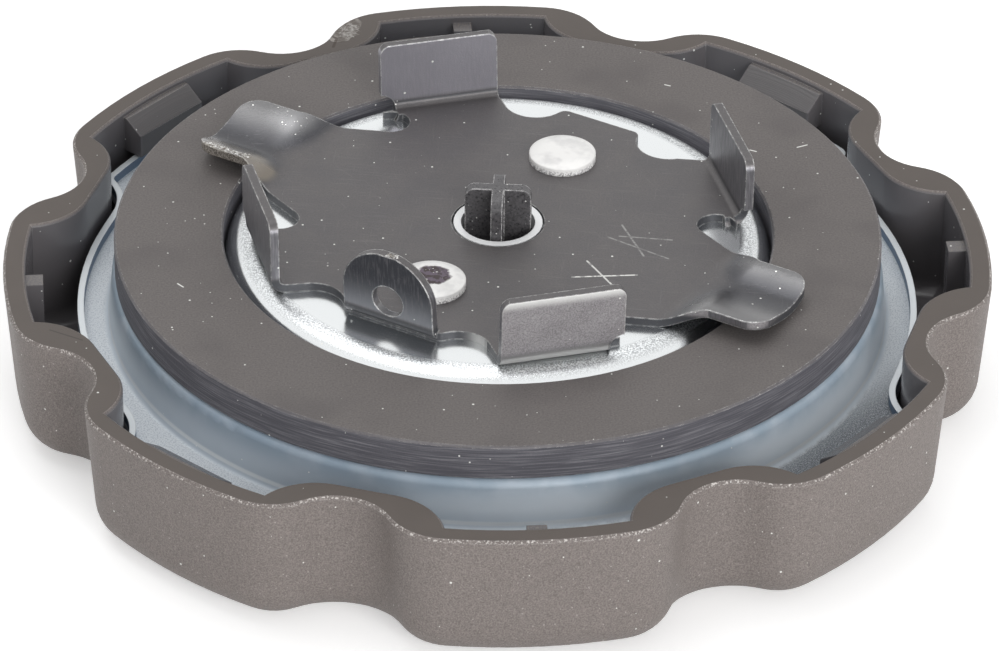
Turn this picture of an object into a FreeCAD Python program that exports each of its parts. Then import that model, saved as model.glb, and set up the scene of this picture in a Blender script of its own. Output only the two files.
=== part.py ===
"""Fuel filler cap of a small engine, lying on its outer face with the tank side up.

Frame: millimetres, +Z up, origin on the outer face of the cover, on the cap's axis.
The lobes of the cover stand at 0, 45, 90 ... degrees, counted from +X.
"""
import FreeCAD, Part
import math
import os

from FreeCAD import Vector

# ---------------------------------------------------------------- gasket and shell
PLATEAU_RADIUS = 18.6        # flat middle of the shell, under the claw plate
SHOULDER_ROUND = 2.4
SHELL_SHEET = 0.6
GASKET_BORE_GAP = 0.1        # shoulder of the shell to the gasket
GASKET_WIDTH = 8.35
GASKET_THICK = 2.9
GASKET_EDGE = 0.15
SEAT_MARGIN = 0.25           # seat of the gasket beyond its outer edge
SEAT_EDGE_ROUND = 0.8
WALL_FLARE = 0.3
FLANGE_FILLET = 0.5
FLANGE_WIDTH = 2.4
FLANGE_DEPTH = 6.95          # gasket face to flange face
LIP_HEIGHT = 0.9
LIP_SHEET = 0.5
EAR_CORNER = 1.2
NECK_RADIUS = 3.42
NECK_WALL = 0.57

# ---------------------------------------------------------------- cover
COVER_HEIGHT = 11.4          # outer face to rim
COVER_DRAFT = 0.8            # how much narrower the closed end is, each side
COVER_FLOOR = 2.0
COVER_EDGE_ROUND = 3.2       # between the outer face and the wall
LOBES = 8
LOBE_CORNER = 5.0            # radius from lobe to scallop
GRIP_DEPTH = 3.65            # lobe face to the bottom of a finger scallop
GRIP_CURVE = 4.3             # radius of the scallop
LOBE_WALL = 1.7
GRIP_WALL = 1.55             # between a scallop and the bulge behind it
BULGE_CORNER = 5.1
BULGE_FLAT = 2.3             # half length of the straight part of a bulge
BULGE_SHIFT = 0.95           # degrees a bulge stands closer to the lobe without a lug
POCKET_ROUND = 1.2
RIM_CHAMFER = 0.2
RIM_BELOW_GASKET = 2.4       # cover rim to gasket face
FLANGE_CLEARANCE = 0.4       # flange and ears to the bulges of the cover
EAR_CLEARANCE = 1.0          # ear to the inner wall of its lobe

# snap lugs that hold the shell, and the stiffening ribs between them
LUG_WIDTH = 7.2
LUG_DEPTH = 2.0
LUG_TOP_DROP = 0.5           # rim to the start of the lug's ramp
LUG_RAMP = 1.1
LUG_LEDGE = 0.5              # flat top of the lug, out from the wall
LUG_TO_LIP = 0.15
RIB_WIDTH = 1.5
RIB_DEPTH = 1.35
RIB_TOP_DROP = 0.7
GUSSET_THICK = 1.4
GUSSET_LENGTH = 8.8          # inwards from the bulge
BOSS_RADIUS = 3.4            # ring below the head of the vent pin
BOSS_WALL = 1.2
ROOT_SUNK = 0.4              # how far lugs, ribs and gussets reach into the wall

# ---------------------------------------------------------------- claw plate
PLATE_TURN = 10.05           # first guide tab from the first lobe, degrees
PLATE_SHEET = 0.7
NECK_CLEARANCE = 0.15
BEND_INNER = 0.5
TAB_TO_GASKET = 2.15         # outer face of a guide tab to the gasket's bore
TAB_WIDTH = 9.5
TAB_HEIGHT = 5.45            # above the plate's face
TAB_LEAN = 4.0               # degrees outwards, front and back guide tabs and round tab
SIDE_TAB_LEAN = 0.5          # left and right guide tabs
TAB_CORNER = 0.9
TAB_RELIEF = 1.1             # radius cut from a tab's foot on the side of a leg
TABS = 4
LAND_INSET = 1.75            # edge of the plate to the edge of the plateau
LAND_NOTCH = 2.5             # radius of the notch beside a land
LAND_NOTCH_GAP = 0.14        # bottom of that notch to the side line of the tab
LAND_NOTCH_SHIFT = 0.8       # how much nearer the middle the notch by the first tab is
LAND_CORNER = 0.7            # rounding where a notch meets the land
LOOP_INSET = 2.35            # outer face of the round tab to the edge of the plateau
LOOP_WIDTH = 7.75
LOOP_HEIGHT = 6.05
LOOP_HOLE = 2.65
LOOP_HOLE_HEIGHT = 1.85      # above the plate's face
LOOP_SHOULDER = 0.55
LOOP_FLAT = 0.015            # half of the straight stretch on top of its round
LEG_PLACES = (135, 315)      # back leg and front leg, degrees from the first tab
LEG_OVERHANG = 4.0           # over the gasket, from its bore
LEG_WIDTH = 8.3
LEG_ROOT_INSET = 1.6         # start of the leg's rise to the edge of the plateau
LEG_RISE_LENGTH = 3.6
LEG_CORNER = 1.8
LEG_NOTCH = 1.5              # radius of the notch beside a leg
LEG_NOTCH_TO_BEND = 0.1152   # where it meets the side line of the tab to the bend
LEG_NOTCH_IN = 0.26          # its centre behind the side line of the tab
LEG_BACK_LEADING_RISE = 1.4  # bent up in use
LEG_FRONT_LEADING_RISE = 1.0
LEG_VALLEY_RISE = 0.35
LEG_TRAILING_RISE = 1.2
LEG_VALLEY_SIDE = 0.9        # from the leg's middle towards its leading edge
LEG_STATIONS = 20            # points that the wave is drawn through, each way

# ---------------------------------------------------------------- rivets
RIVET_CIRCLE = 10.4
RIVET_HEAD = 5.2
RIVET_HEAD_HEIGHT = 0.85
RIVET_BRIM = 0.6             # straight edge of the head below its dome
RIVET_FLAT = 1.4             # radius of the flat on top of the head
RIVET_SHANK = 2.6
RIVET_CLEARANCE = 0.05
RIVET_TAIL = 4.2
RIVET_TAIL_HEIGHT = 0.7
RIVET_TAIL_EDGE = 0.6        # chamfer of the formed tail
RIVET_FROM_TAB = 46.5        # degrees

# ---------------------------------------------------------------- vent pin
PIN_CLEARANCE = 0.3          # stem to the bore of the neck
PIN_FIN = 0.9
PIN_ABOVE_PLATE = 3.15
PIN_TURN = -8.0              # degrees
PIN_SIDE_CORNER = 0.8
PIN_FRONT_CORNER = 1.15
PIN_HEAD_RADIUS = 4.0
PIN_HEAD_THICK = 1.2
PIN_TRAVEL = 1.5
PIN_REST_GAP = 0.2           # head to the boss of the cover
PIN_END_GAP = 0.3            # head to the shell at the end of its travel

# ---------------------------------------------------------------- radii
SHOULDER_RADIUS = PLATEAU_RADIUS + SHOULDER_ROUND
SEAT_FILLET = GASKET_BORE_GAP + GASKET_EDGE
GASKET_BORE = SHOULDER_RADIUS + GASKET_BORE_GAP
GASKET_RADIUS = GASKET_BORE + GASKET_WIDTH
SEAT_RADIUS = GASKET_RADIUS + SEAT_MARGIN
WALL_RADIUS = SEAT_RADIUS + WALL_FLARE
FLANGE_RADIUS = WALL_RADIUS + FLANGE_WIDTH
BULGE_RADIUS = FLANGE_RADIUS + FLANGE_CLEARANCE
GRIP_RADIUS = BULGE_RADIUS + GRIP_WALL
COVER_RADIUS = GRIP_RADIUS + GRIP_DEPTH
INNER_RADIUS = COVER_RADIUS - LOBE_WALL
EAR_RADIUS = INNER_RADIUS - EAR_CLEARANCE
LAND_RADIUS = PLATEAU_RADIUS - LAND_INSET
LOOP_RADIUS = PLATEAU_RADIUS - LOOP_INSET
TAB_RADIUS = GASKET_BORE - TAB_TO_GASKET
TAB_BEND_RADIUS = TAB_RADIUS - BEND_INNER - PLATE_SHEET
LEG_ROOT_RADIUS = PLATEAU_RADIUS - LEG_ROOT_INSET
LEG_FULL_RADIUS = LEG_ROOT_RADIUS + LEG_RISE_LENGTH
LEG_REACH = GASKET_BORE + LEG_OVERHANG
NECK_BORE = NECK_RADIUS - NECK_WALL
LOBE_STEP = 360.0 / LOBES

# ---------------------------------------------------------------- levels
GASKET_FACE = COVER_HEIGHT + RIM_BELOW_GASKET
SEAT_LEVEL = GASKET_FACE - GASKET_THICK
FLANGE_FACE = GASKET_FACE - FLANGE_DEPTH
FLANGE_UNDER = FLANGE_FACE - SHELL_SHEET
LIP_TOP = FLANGE_FACE + LIP_HEIGHT
PLATEAU = GASKET_FACE
PLATEAU_UNDER = PLATEAU - SHELL_SHEET
PLATE_FACE = PLATEAU + PLATE_SHEET
PIN_HEAD_UNDER = PLATEAU_UNDER - PIN_END_GAP - PIN_TRAVEL - PIN_HEAD_THICK


def polar(radius, degrees, z=0.0):
    angle = math.radians(degrees)
    return Vector(radius * math.cos(angle), radius * math.sin(angle), z)


def turned(shape, degrees):
    copy = shape.copy()
    copy.rotate(Vector(0, 0, 0), Vector(0, 0, 1), degrees)
    return copy


def arc(centre, start, end, clockwise=False):
    """Arc about centre from start to end; its radius is the distance to start."""
    a0 = math.atan2(start.y - centre.y, start.x - centre.x)
    a1 = math.atan2(end.y - centre.y, end.x - centre.x)
    sweep = (a0 - a1 if clockwise else a1 - a0) % (2 * math.pi)
    middle = a0 - sweep / 2 if clockwise else a0 + sweep / 2
    radius = (start - centre).Length
    through = centre + Vector(radius * math.cos(middle), radius * math.sin(middle), 0)
    return Part.Arc(start, through, end).toShape()


def line(start, end):
    return Part.LineSegment(start, end).toShape()


def polyline(points):
    return [line(start, end) for start, end in zip(points, points[1:])]


def mirror(point):
    return Vector(point.x, -point.y, point.z)


def meeting(centre, radius, circle):
    """Point above the X axis where a circle about centre crosses one about the origin."""
    reach = centre.Length
    along = (circle ** 2 - radius ** 2 + reach ** 2) / (2 * reach)
    axis = Vector(centre).normalize()
    return axis * along + Vector(-axis.y, axis.x, 0) * math.sqrt(circle ** 2 - along ** 2)


def bearing(point):
    return math.degrees(math.atan2(point.y, point.x))


def prism(wire, bottom, top):
    face = Part.Face(wire)
    face.translate(Vector(0, 0, bottom))
    return face.extrude(Vector(0, 0, top - bottom))


def box(x0, x1, y0, y1, z0, z1):
    return Part.makeBox(x1 - x0, y1 - y0, z1 - z0, Vector(x0, y0, z0))


def ring(outer, inner, bottom, top):
    at = Vector(0, 0, bottom)
    return Part.makeCylinder(outer, top - bottom, at).cut(Part.makeCylinder(inner, top - bottom, at))


# ---------------------------------------------------------------- cover
def cover_outline(inset):
    """Outer outline: lobe arcs, corner arcs and scallops, moved inwards by inset."""
    radius = COVER_RADIUS - inset
    scallop = Vector(GRIP_RADIUS + GRIP_CURVE, 0, 0)
    corner = meeting(scallop, GRIP_CURVE + LOBE_CORNER, COVER_RADIUS - LOBE_CORNER)
    lobe_point = corner * (radius / corner.Length)
    toward = (corner - scallop).normalize()
    scallop_point = scallop + toward * (GRIP_CURVE + inset)
    half = LOBE_STEP / 2 - bearing(corner)

    edges = []
    for k in range(LOBES):
        valley = [arc(mirror(corner), mirror(lobe_point), mirror(scallop_point)),
                  arc(scallop, mirror(scallop_point), scallop_point, clockwise=True),
                  arc(corner, scallop_point, lobe_point)]
        edges += [turned(edge, (k - 0.5) * LOBE_STEP) for edge in valley]
        lobe = k * LOBE_STEP
        edges.append(arc(Vector(), polar(radius, lobe - half), polar(radius, lobe + half)))
    return Part.Wire(edges)


def bulge_turn(k):
    """Bearing of the bulge between lobe k - 1 and lobe k; odd lobes carry the lugs."""
    return (k - 0.5) * LOBE_STEP + (-BULGE_SHIFT if k % 2 else BULGE_SHIFT)


def pocket_outline(grow):
    """Inner outline: an arc in each lobe and a rounded bulge behind each scallop."""
    radius = INNER_RADIUS + grow
    centre = Vector(BULGE_RADIUS + BULGE_CORNER, BULGE_FLAT, 0)
    flat = Vector(BULGE_RADIUS + grow, BULGE_FLAT, 0)
    corner = meeting(centre, BULGE_CORNER - grow, radius)
    edges = []
    for k in range(LOBES):
        bulge = [arc(mirror(centre), mirror(corner), mirror(flat), clockwise=True),
                 line(mirror(flat), flat),
                 arc(centre, flat, corner, clockwise=True)]
        edges += [turned(edge, bulge_turn(k)) for edge in bulge]
        start = bulge_turn(k) + bearing(corner)
        end = bulge_turn(k + 1) - bearing(corner)
        edges.append(arc(Vector(), polar(radius, start), polar(radius, end)))
    return Part.Wire(edges)


def stacked(levels):
    """Solid with straight walls from one outline to the next, given as (wire, z)."""
    wires = []
    for wire, z in levels:
        raised = wire.copy()
        raised.translate(Vector(0, 0, z))
        wires.append(raised)
    return Part.makeLoft(wires, True, True)


def snap_lug():
    """Hook on a lobe's inner wall: flat under side over the ear, ramp towards the rim."""
    under = LIP_TOP + LUG_TO_LIP
    top = COVER_HEIGHT - LUG_TOP_DROP
    root = INNER_RADIUS + ROOT_SUNK
    tip = INNER_RADIUS - LUG_DEPTH
    outline = [Vector(root, 0, under), Vector(tip, 0, under), Vector(tip, 0, top - LUG_RAMP),
               Vector(INNER_RADIUS - LUG_LEDGE, 0, top), Vector(root, 0, top), Vector(root, 0, under)]
    face = Part.Face(Part.Wire(polyline(outline)))
    face.translate(Vector(0, -LUG_WIDTH / 2, 0))
    return face.extrude(Vector(0, LUG_WIDTH, 0))


def make_cover():
    body = stacked([(cover_outline(COVER_DRAFT), 0), (cover_outline(0), COVER_HEIGHT - RIM_CHAMFER),
                    (cover_outline(RIM_CHAMFER), COVER_HEIGHT)])
    body = body.makeFillet(COVER_EDGE_ROUND, [e for e in body.Edges if e.BoundBox.ZMax < 0.01])
    pocket = prism(pocket_outline(0), COVER_FLOOR, COVER_HEIGHT + 1)
    foot_edges = [e for e in pocket.Edges if e.BoundBox.ZMax < COVER_FLOOR + 0.01]
    pocket = pocket.makeFillet(POCKET_ROUND, foot_edges)
    mouth = stacked([(pocket_outline(0), COVER_HEIGHT - RIM_CHAMFER),
                     (pocket_outline(2 * RIM_CHAMFER), COVER_HEIGHT + RIM_CHAMFER)])
    body = body.cut([pocket, mouth])

    extras = []
    foot = COVER_FLOOR - ROOT_SUNK
    for k in range(LOBES):
        lobe = k * LOBE_STEP
        if k % 2:
            extras.append(turned(snap_lug(), lobe))
        else:
            rib = box(INNER_RADIUS - RIB_DEPTH, INNER_RADIUS + ROOT_SUNK, -RIB_WIDTH / 2,
                      RIB_WIDTH / 2, COVER_FLOOR, COVER_HEIGHT - RIB_TOP_DROP)
            extras.append(turned(rib, lobe))
        gusset = box(BULGE_RADIUS - GUSSET_LENGTH, BULGE_RADIUS + ROOT_SUNK, -GUSSET_THICK / 2,
                     GUSSET_THICK / 2, foot, FLANGE_UNDER)
        extras.append(turned(gusset, bulge_turn(k)))
    extras.append(ring(BOSS_RADIUS, BOSS_RADIUS - BOSS_WALL, foot, PIN_HEAD_UNDER - PIN_REST_GAP))
    return body.fuse(extras).removeSplitter()


# ---------------------------------------------------------------- shell
def upright_arc(centre, radius, start, end):
    """Arc in the XZ plane between two bearings, with its end points."""
    points = [centre + Vector(radius * math.cos(a), 0, radius * math.sin(a))
              for a in (math.radians(b) for b in (start, (start + end) / 2, end))]
    return Part.Arc(*points).toShape(), points[0], points[2]


def bell(inset):
    """Solid under the pressed face of the shell, moved inwards by inset."""
    shoulder_at = Vector(PLATEAU_RADIUS, 0, PLATEAU - SHOULDER_ROUND)
    seat_at = Vector(SHOULDER_RADIUS + SEAT_FILLET, 0, SEAT_LEVEL + SEAT_FILLET)
    edge_at = Vector(SEAT_RADIUS - SEAT_EDGE_ROUND, 0, SEAT_LEVEL - SEAT_EDGE_ROUND)
    foot_at = Vector(WALL_RADIUS + FLANGE_FILLET, 0, FLANGE_FACE + FLANGE_FILLET)
    bends = [upright_arc(shoulder_at, SHOULDER_ROUND - inset, 90, 0),
             upright_arc(seat_at, SEAT_FILLET + inset, 180, 270),
             upright_arc(edge_at, SEAT_EDGE_ROUND - inset, 90, 0),
             upright_arc(foot_at, FLANGE_FILLET + inset, 180, 270)]
    top = Vector(0, 0, PLATEAU - inset)
    edges = []
    reached = top
    for bend, start, end in bends:
        edges += [line(reached, start), bend]
        reached = end
    bottom = FLANGE_UNDER - SHELL_SHEET
    edges += polyline([reached, Vector(reached.x, 0, bottom), Vector(0, 0, bottom), top])
    return Part.Face(Part.Wire(edges)).revolve(Vector(0, 0, 0), Vector(0, 0, 1), 360)


def flange_outline(inset):
    """Edge of the flange: a circle with a round-cornered ear in each lobe that has a lug."""
    round_radius = FLANGE_RADIUS - inset
    ear_radius = EAR_RADIUS - inset
    side_at = Vector(BULGE_RADIUS + BULGE_CORNER, BULGE_FLAT, 0)
    corner_at = meeting(side_at, side_at.x - FLANGE_RADIUS + EAR_CORNER, EAR_RADIUS - EAR_CORNER)
    side_start = Vector(round_radius, BULGE_FLAT, 0)
    side_end = side_at + (corner_at - side_at).normalize() * (side_at.x - round_radius)
    ear_start = corner_at * (ear_radius / corner_at.Length)
    rising = [line(Vector(round_radius, 0, 0), side_start),
              arc(side_at, side_start, side_end, clockwise=True),
              arc(corner_at, side_end, ear_start)]
    edges = []
    for k in range(1, LOBES, 2):
        before = bulge_turn(k)
        after = bulge_turn(k + 1)
        edges += [turned(edge, before) for edge in rising]
        edges += [turned(edge.mirror(Vector(), Vector(0, 1, 0)), after) for edge in rising]
        edges.append(arc(Vector(), polar(ear_radius, before + bearing(ear_start)),
                         polar(ear_radius, after - bearing(ear_start))))
        edges.append(arc(Vector(), polar(round_radius, after), polar(round_radius, bulge_turn(k + 2))))
    return Part.Wire(Part.__sortEdges__(edges))


def make_shell():
    lipped = prism(flange_outline(0), FLANGE_UNDER, LIP_TOP)
    lipped = lipped.cut(prism(flange_outline(LIP_SHEET), FLANGE_FACE, LIP_TOP + 1))
    neck = Part.makeCylinder(NECK_RADIUS, PLATE_FACE - PLATEAU_UNDER, Vector(0, 0, PLATEAU_UNDER))
    outside = bell(0).cut(box(-COVER_RADIUS, COVER_RADIUS, -COVER_RADIUS, COVER_RADIUS, 0, FLANGE_UNDER))
    body = lipped.fuse([outside, neck]).cut(bell(SHELL_SHEET))
    bore = Part.makeCylinder(NECK_BORE, PLATE_FACE, Vector(0, 0, FLANGE_UNDER))
    return body.cut([bore] + rivet_holes()).removeSplitter()


# ---------------------------------------------------------------- gasket
def make_gasket():
    body = ring(GASKET_RADIUS, GASKET_BORE, SEAT_LEVEL, GASKET_FACE)
    return body.makeChamfer(GASKET_EDGE, body.Edges)


# ---------------------------------------------------------------- claw plate
def at_side(along, y):
    """Point at height y whose distance along the bearing of 45 degrees is given."""
    return Vector(along * math.sqrt(2) - y, y, 0)


def land_half(level, shift=0.0):
    """From a tab's corner round a notch to the middle of a land, for a tab on +X."""
    centre = at_side(LAND_RADIUS, TAB_WIDTH / 2 + LAND_NOTCH_GAP + LAND_NOTCH) + polar(shift, 135)
    low = centre - Vector(0, LAND_NOTCH, 0)
    drop = LAND_RADIUS - level + LAND_CORNER
    reach = math.sqrt((LAND_NOTCH + LAND_CORNER) ** 2 - drop ** 2)
    corner = centre - polar(drop, 45) + polar(reach, 135)
    leave = centre + (corner - centre).normalize() * LAND_NOTCH
    land = corner + polar(LAND_CORNER, 45)
    return [line(Vector(TAB_BEND_RADIUS, TAB_WIDTH / 2, 0), low),
            arc(centre, low, leave, clockwise=True), arc(corner, leave, land),
            line(land, polar(level, 45))]


def leg_half():
    """From a tab's corner round a notch to the end of a leg, for a tab on +X."""
    tab_corner = Vector(TAB_BEND_RADIUS, TAB_WIDTH / 2, 0)
    meet = tab_corner - Vector(LEG_NOTCH_TO_BEND, 0, 0)
    centre = meet - Vector(math.sqrt(LEG_NOTCH ** 2 - LEG_NOTCH_IN ** 2), LEG_NOTCH_IN, 0)
    knee = polar(LEG_FULL_RADIUS, 45) - polar(LEG_WIDTH / 2, 135)
    away = knee - centre
    slope = bearing(away) - math.degrees(math.asin(LEG_NOTCH / away.Length))
    touch = centre + polar(LEG_NOTCH, slope + 90)
    corner = polar(LEG_REACH - LEG_CORNER, 45) - polar(LEG_WIDTH / 2 - LEG_CORNER, 135)
    side_end = corner - polar(LEG_CORNER, 135)
    tip_start = corner + polar(LEG_CORNER, 45)
    edges = [line(tab_corner, meet), arc(centre, meet, touch, clockwise=True)]
    edges += polyline([touch, knee, side_end])
    return edges + [arc(corner, side_end, tip_start), line(tip_start, polar(LEG_REACH, 45))]


def plate_outline():
    """Flat part of the plate: tabs at 0, 90 ... degrees, lands and legs between them."""
    base = line(Vector(TAB_BEND_RADIUS, -TAB_WIDTH / 2, 0), Vector(TAB_BEND_RADIUS, TAB_WIDTH / 2, 0))
    loop_land = land_half(LOOP_RADIUS - LOOP_SHOULDER)
    between = [(land_half(LAND_RADIUS, LAND_NOTCH_SHIFT), land_half(LAND_RADIUS)),
               (leg_half(), leg_half()), (loop_land, loop_land), (leg_half(), leg_half())]
    diagonal = Vector(1, -1, 0)
    edges = []
    for k, (first, second) in enumerate(between):
        quarter = [base] + first + [edge.mirror(Vector(), diagonal) for edge in second]
        edges += [turned(edge, 90 * k) for edge in quarter]
    return Part.Wire(Part.__sortEdges__(edges))


def leg_wave(side, leading_rise):
    """Rise of a leg above the flat plate at a distance from its middle line."""
    edge = LEG_WIDTH / 2
    knots = [(-edge, LEG_TRAILING_RISE), (LEG_VALLEY_SIDE, LEG_VALLEY_RISE), (edge, leading_rise)]
    if side <= -edge:
        return LEG_TRAILING_RISE
    for (s0, h0), (s1, h1) in zip(knots, knots[1:]):
        if side <= s1:
            part = 0.5 - 0.5 * math.cos(math.pi * (side - s0) / (s1 - s0))
            return h0 + (h1 - h0) * part
    return leading_rise


def leg_sheet(leading_rise):
    """Sheet of one leg along +X: it rises from the flat plate into its wave."""
    across = [LEG_WIDTH * j / LEG_STATIONS for j in range(-LEG_STATIONS, LEG_STATIONS + 1)]
    length = LEG_REACH - LEG_ROOT_RADIUS + PLATE_SHEET
    rows = []
    for i in range(LEG_STATIONS + 1):
        beyond = length * i / LEG_STATIONS
        part = min(1.0, beyond / LEG_RISE_LENGTH)
        rise = part * part * (3 - 2 * part)
        rows.append([Vector(LEG_ROOT_RADIUS + beyond, side, PLATEAU + rise * leg_wave(side, leading_rise))
                     for side in across])
    surface = Part.BSplineSurface()
    surface.interpolate(rows)
    return surface.toShape().extrude(Vector(0, 0, PLATE_SHEET))


def bent_tab(radius, width, height, lean):
    """Tab along +X: a short flat root, the bend, and the leaning blade."""
    outer = BEND_INNER + PLATE_SHEET
    centre = Vector(radius - outer, 0, PLATE_FACE + BEND_INNER)
    inner_bend, foot_in, blade_in = upright_arc(centre, BEND_INNER, 270, 360 - lean)
    outer_bend, foot_out, blade_out = upright_arc(centre, outer, 270, 360 - lean)
    rise = Vector(math.tan(math.radians(lean)), 0, 1) * (height - BEND_INNER)
    root = Vector(-PLATE_SHEET, 0, 0)
    edges = [inner_bend, outer_bend]
    edges += polyline([foot_in, foot_in + root, foot_out + root, foot_out])
    edges += polyline([blade_in, blade_in + rise, blade_out + rise, blade_out])
    face = Part.Face(Part.Wire(Part.__sortEdges__(edges)))
    face.translate(Vector(0, -width / 2, 0))
    return face.extrude(Vector(0, width, 0))


def round_top(tab, width, height, corner):
    """Tab with its two upper corners rounded, as seen from the front."""
    top = PLATE_FACE + height
    mask = box(0, 2 * TAB_RADIUS, -width / 2, width / 2, PLATEAU, top)
    upper = [e for e in mask.Edges if e.BoundBox.YLength < 1e-6 and e.BoundBox.ZMin > top - 0.01]
    return tab.common(mask.makeFillet(corner, upper))


def guide_tab(k):
    """Guide tab k, along +X, with a round relief at its foot on the side of the leg."""
    blade = bent_tab(TAB_RADIUS, TAB_WIDTH, TAB_HEIGHT, TAB_LEAN if k % 2 else SIDE_TAB_LEAN)
    side = TAB_WIDTH / 2 if k % 2 else -TAB_WIDTH / 2
    foot = Vector(TAB_BEND_RADIUS - PLATE_SHEET, side, PLATE_FACE)
    relief = Part.makeCylinder(TAB_RELIEF, TAB_RADIUS, foot, Vector(1, 0, 0))
    return round_top(blade, TAB_WIDTH, TAB_HEIGHT, TAB_CORNER).cut(relief)


def make_claw_plate():
    wide = 2 * LEG_WIDTH
    tall = PLATE_SHEET + LEG_BACK_LEADING_RISE + LEG_TRAILING_RISE
    beyond = box(LEG_ROOT_RADIUS, 2 * LEG_REACH, -wide, wide, PLATEAU, PLATE_FACE)
    flat = prism(plate_outline(), PLATEAU, PLATE_FACE).cut([turned(beyond, a) for a in LEG_PLACES])
    stencil = prism(plate_outline(), PLATEAU - tall, PLATE_FACE + tall)
    legs = [turned(leg_sheet(rise), a).common(stencil)
            for rise, a in zip((LEG_BACK_LEADING_RISE, LEG_FRONT_LEADING_RISE), LEG_PLACES)]

    tabs = [turned(guide_tab(k), 90 * k) for k in range(TABS)]
    loop = bent_tab(LOOP_RADIUS, LOOP_WIDTH, LOOP_HEIGHT, TAB_LEAN)
    loop = round_top(loop, LOOP_WIDTH, LOOP_HEIGHT, LOOP_WIDTH / 2 - LOOP_FLAT)
    hole_at = Vector(0, 0, PLATE_FACE + LOOP_HOLE_HEIGHT)
    loop = loop.cut(Part.makeCylinder(LOOP_HOLE / 2, 2 * LOOP_RADIUS, hole_at, Vector(1, 0, 0)))

    plate = turned(flat.fuse(legs + tabs + [turned(loop, 225)]), PLATE_TURN)
    openings = [Part.makeCylinder(NECK_RADIUS + NECK_CLEARANCE, PLATE_FACE)]
    openings += rivet_holes()
    return plate.cut(openings).removeSplitter()


# ---------------------------------------------------------------- rivets
def rivet_places():
    first = PLATE_TURN + RIVET_FROM_TAB
    return [polar(RIVET_CIRCLE, first), polar(RIVET_CIRCLE, first + 180)]


def rivet_holes():
    radius = RIVET_SHANK / 2 + RIVET_CLEARANCE
    return [Part.makeCylinder(radius, PLATE_FACE, place) for place in rivet_places()]


def make_rivet(place):
    """Low domed head on the plate, shank through both sheets, formed tail below."""
    head = RIVET_HEAD / 2
    shank = RIVET_SHANK / 2
    tail = RIVET_TAIL / 2
    top = PLATE_FACE + RIVET_HEAD_HEIGHT
    brim = Vector(head, 0, PLATE_FACE + RIVET_BRIM)
    flat = Vector(RIVET_FLAT, 0, top)
    shallow = (head - RIVET_FLAT) ** 2 / (2 * (top - brim.z))
    dome_at = Vector(RIVET_FLAT, 0, top - shallow - (top - brim.z) / 2)
    middle = dome_at + ((brim + flat) * 0.5 - dome_at).normalize() * (flat - dome_at).Length
    low = PLATEAU_UNDER - RIVET_TAIL_HEIGHT
    edges = polyline([flat, Vector(0, 0, top), Vector(0, 0, low), Vector(tail - RIVET_TAIL_EDGE, 0, low),
                      Vector(tail, 0, low + RIVET_TAIL_EDGE), Vector(tail, 0, PLATEAU_UNDER),
                      Vector(shank, 0, PLATEAU_UNDER), Vector(shank, 0, PLATE_FACE),
                      Vector(head, 0, PLATE_FACE), brim])
    edges.append(Part.Arc(brim, middle, flat).toShape())
    body = Part.Face(Part.Wire(edges)).revolve(Vector(0, 0, 0), Vector(0, 0, 1), 360)
    body.translate(place)
    return body


# ---------------------------------------------------------------- vent pin
def pin_fin(corner):
    """Upright fin across the stem, along X, with its two upper corners rounded."""
    top = PLATE_FACE + PIN_ABOVE_PLATE
    half = NECK_BORE - PIN_CLEARANCE
    fin = box(-half, half, -PIN_FIN / 2, PIN_FIN / 2, PIN_HEAD_UNDER, top)
    upper = [e for e in fin.Edges if e.BoundBox.XLength < 1e-6 and e.BoundBox.ZMin > top - 0.01]
    return fin.makeFillet(corner, upper)


def make_vent_pin():
    """Cross-shaped stem with a round head below the shell."""
    head = Part.makeCylinder(PIN_HEAD_RADIUS, PIN_HEAD_THICK, Vector(0, 0, PIN_HEAD_UNDER))
    fins = [pin_fin(PIN_SIDE_CORNER), turned(pin_fin(PIN_FRONT_CORNER), 90)]
    return turned(head.fuse(fins).removeSplitter(), PIN_TURN)


def main():
    os.makedirs("parts", exist_ok=True)
    back, front = rivet_places()
    nodes = {
        "grip_cover": make_cover(),
        "cap_shell": make_shell(),
        "gasket": make_gasket(),
        "claw_plate": make_claw_plate(),
        "rivet_back": make_rivet(back),
        "rivet_front": make_rivet(front),
        "vent_pin": make_vent_pin(),
    }
    for name, shape in nodes.items():
        shape.exportStep("parts/" + name + ".step")
        size = shape.BoundBox
        print(name, len(shape.Solids), "solid", "valid" if shape.isValid() else "INVALID",
              "volume %.1f" % shape.Volume, "z %.2f to %.2f" % (size.ZMin, size.ZMax),
              "x %.2f to %.2f" % (size.XMin, size.XMax))


main()
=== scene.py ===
# %% [markdown]
# # A fuel filler cap, turned over on a bench
# The cap lies on its outer face, so that what is normally hidden in the filler neck looks up: a thick
# rubber gasket, a plated steel shell under it, and a dark spring plate whose tabs and two waved legs
# hold the cap in the neck. A lobed plastic cover surrounds them all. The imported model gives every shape
# and place, and this script gives it the finishes, the small marks of use, the light and the camera.

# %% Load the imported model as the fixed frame
import math
from functools import reduce

import bpy
import numpy as np
from mathutils import Matrix, Vector


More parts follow.
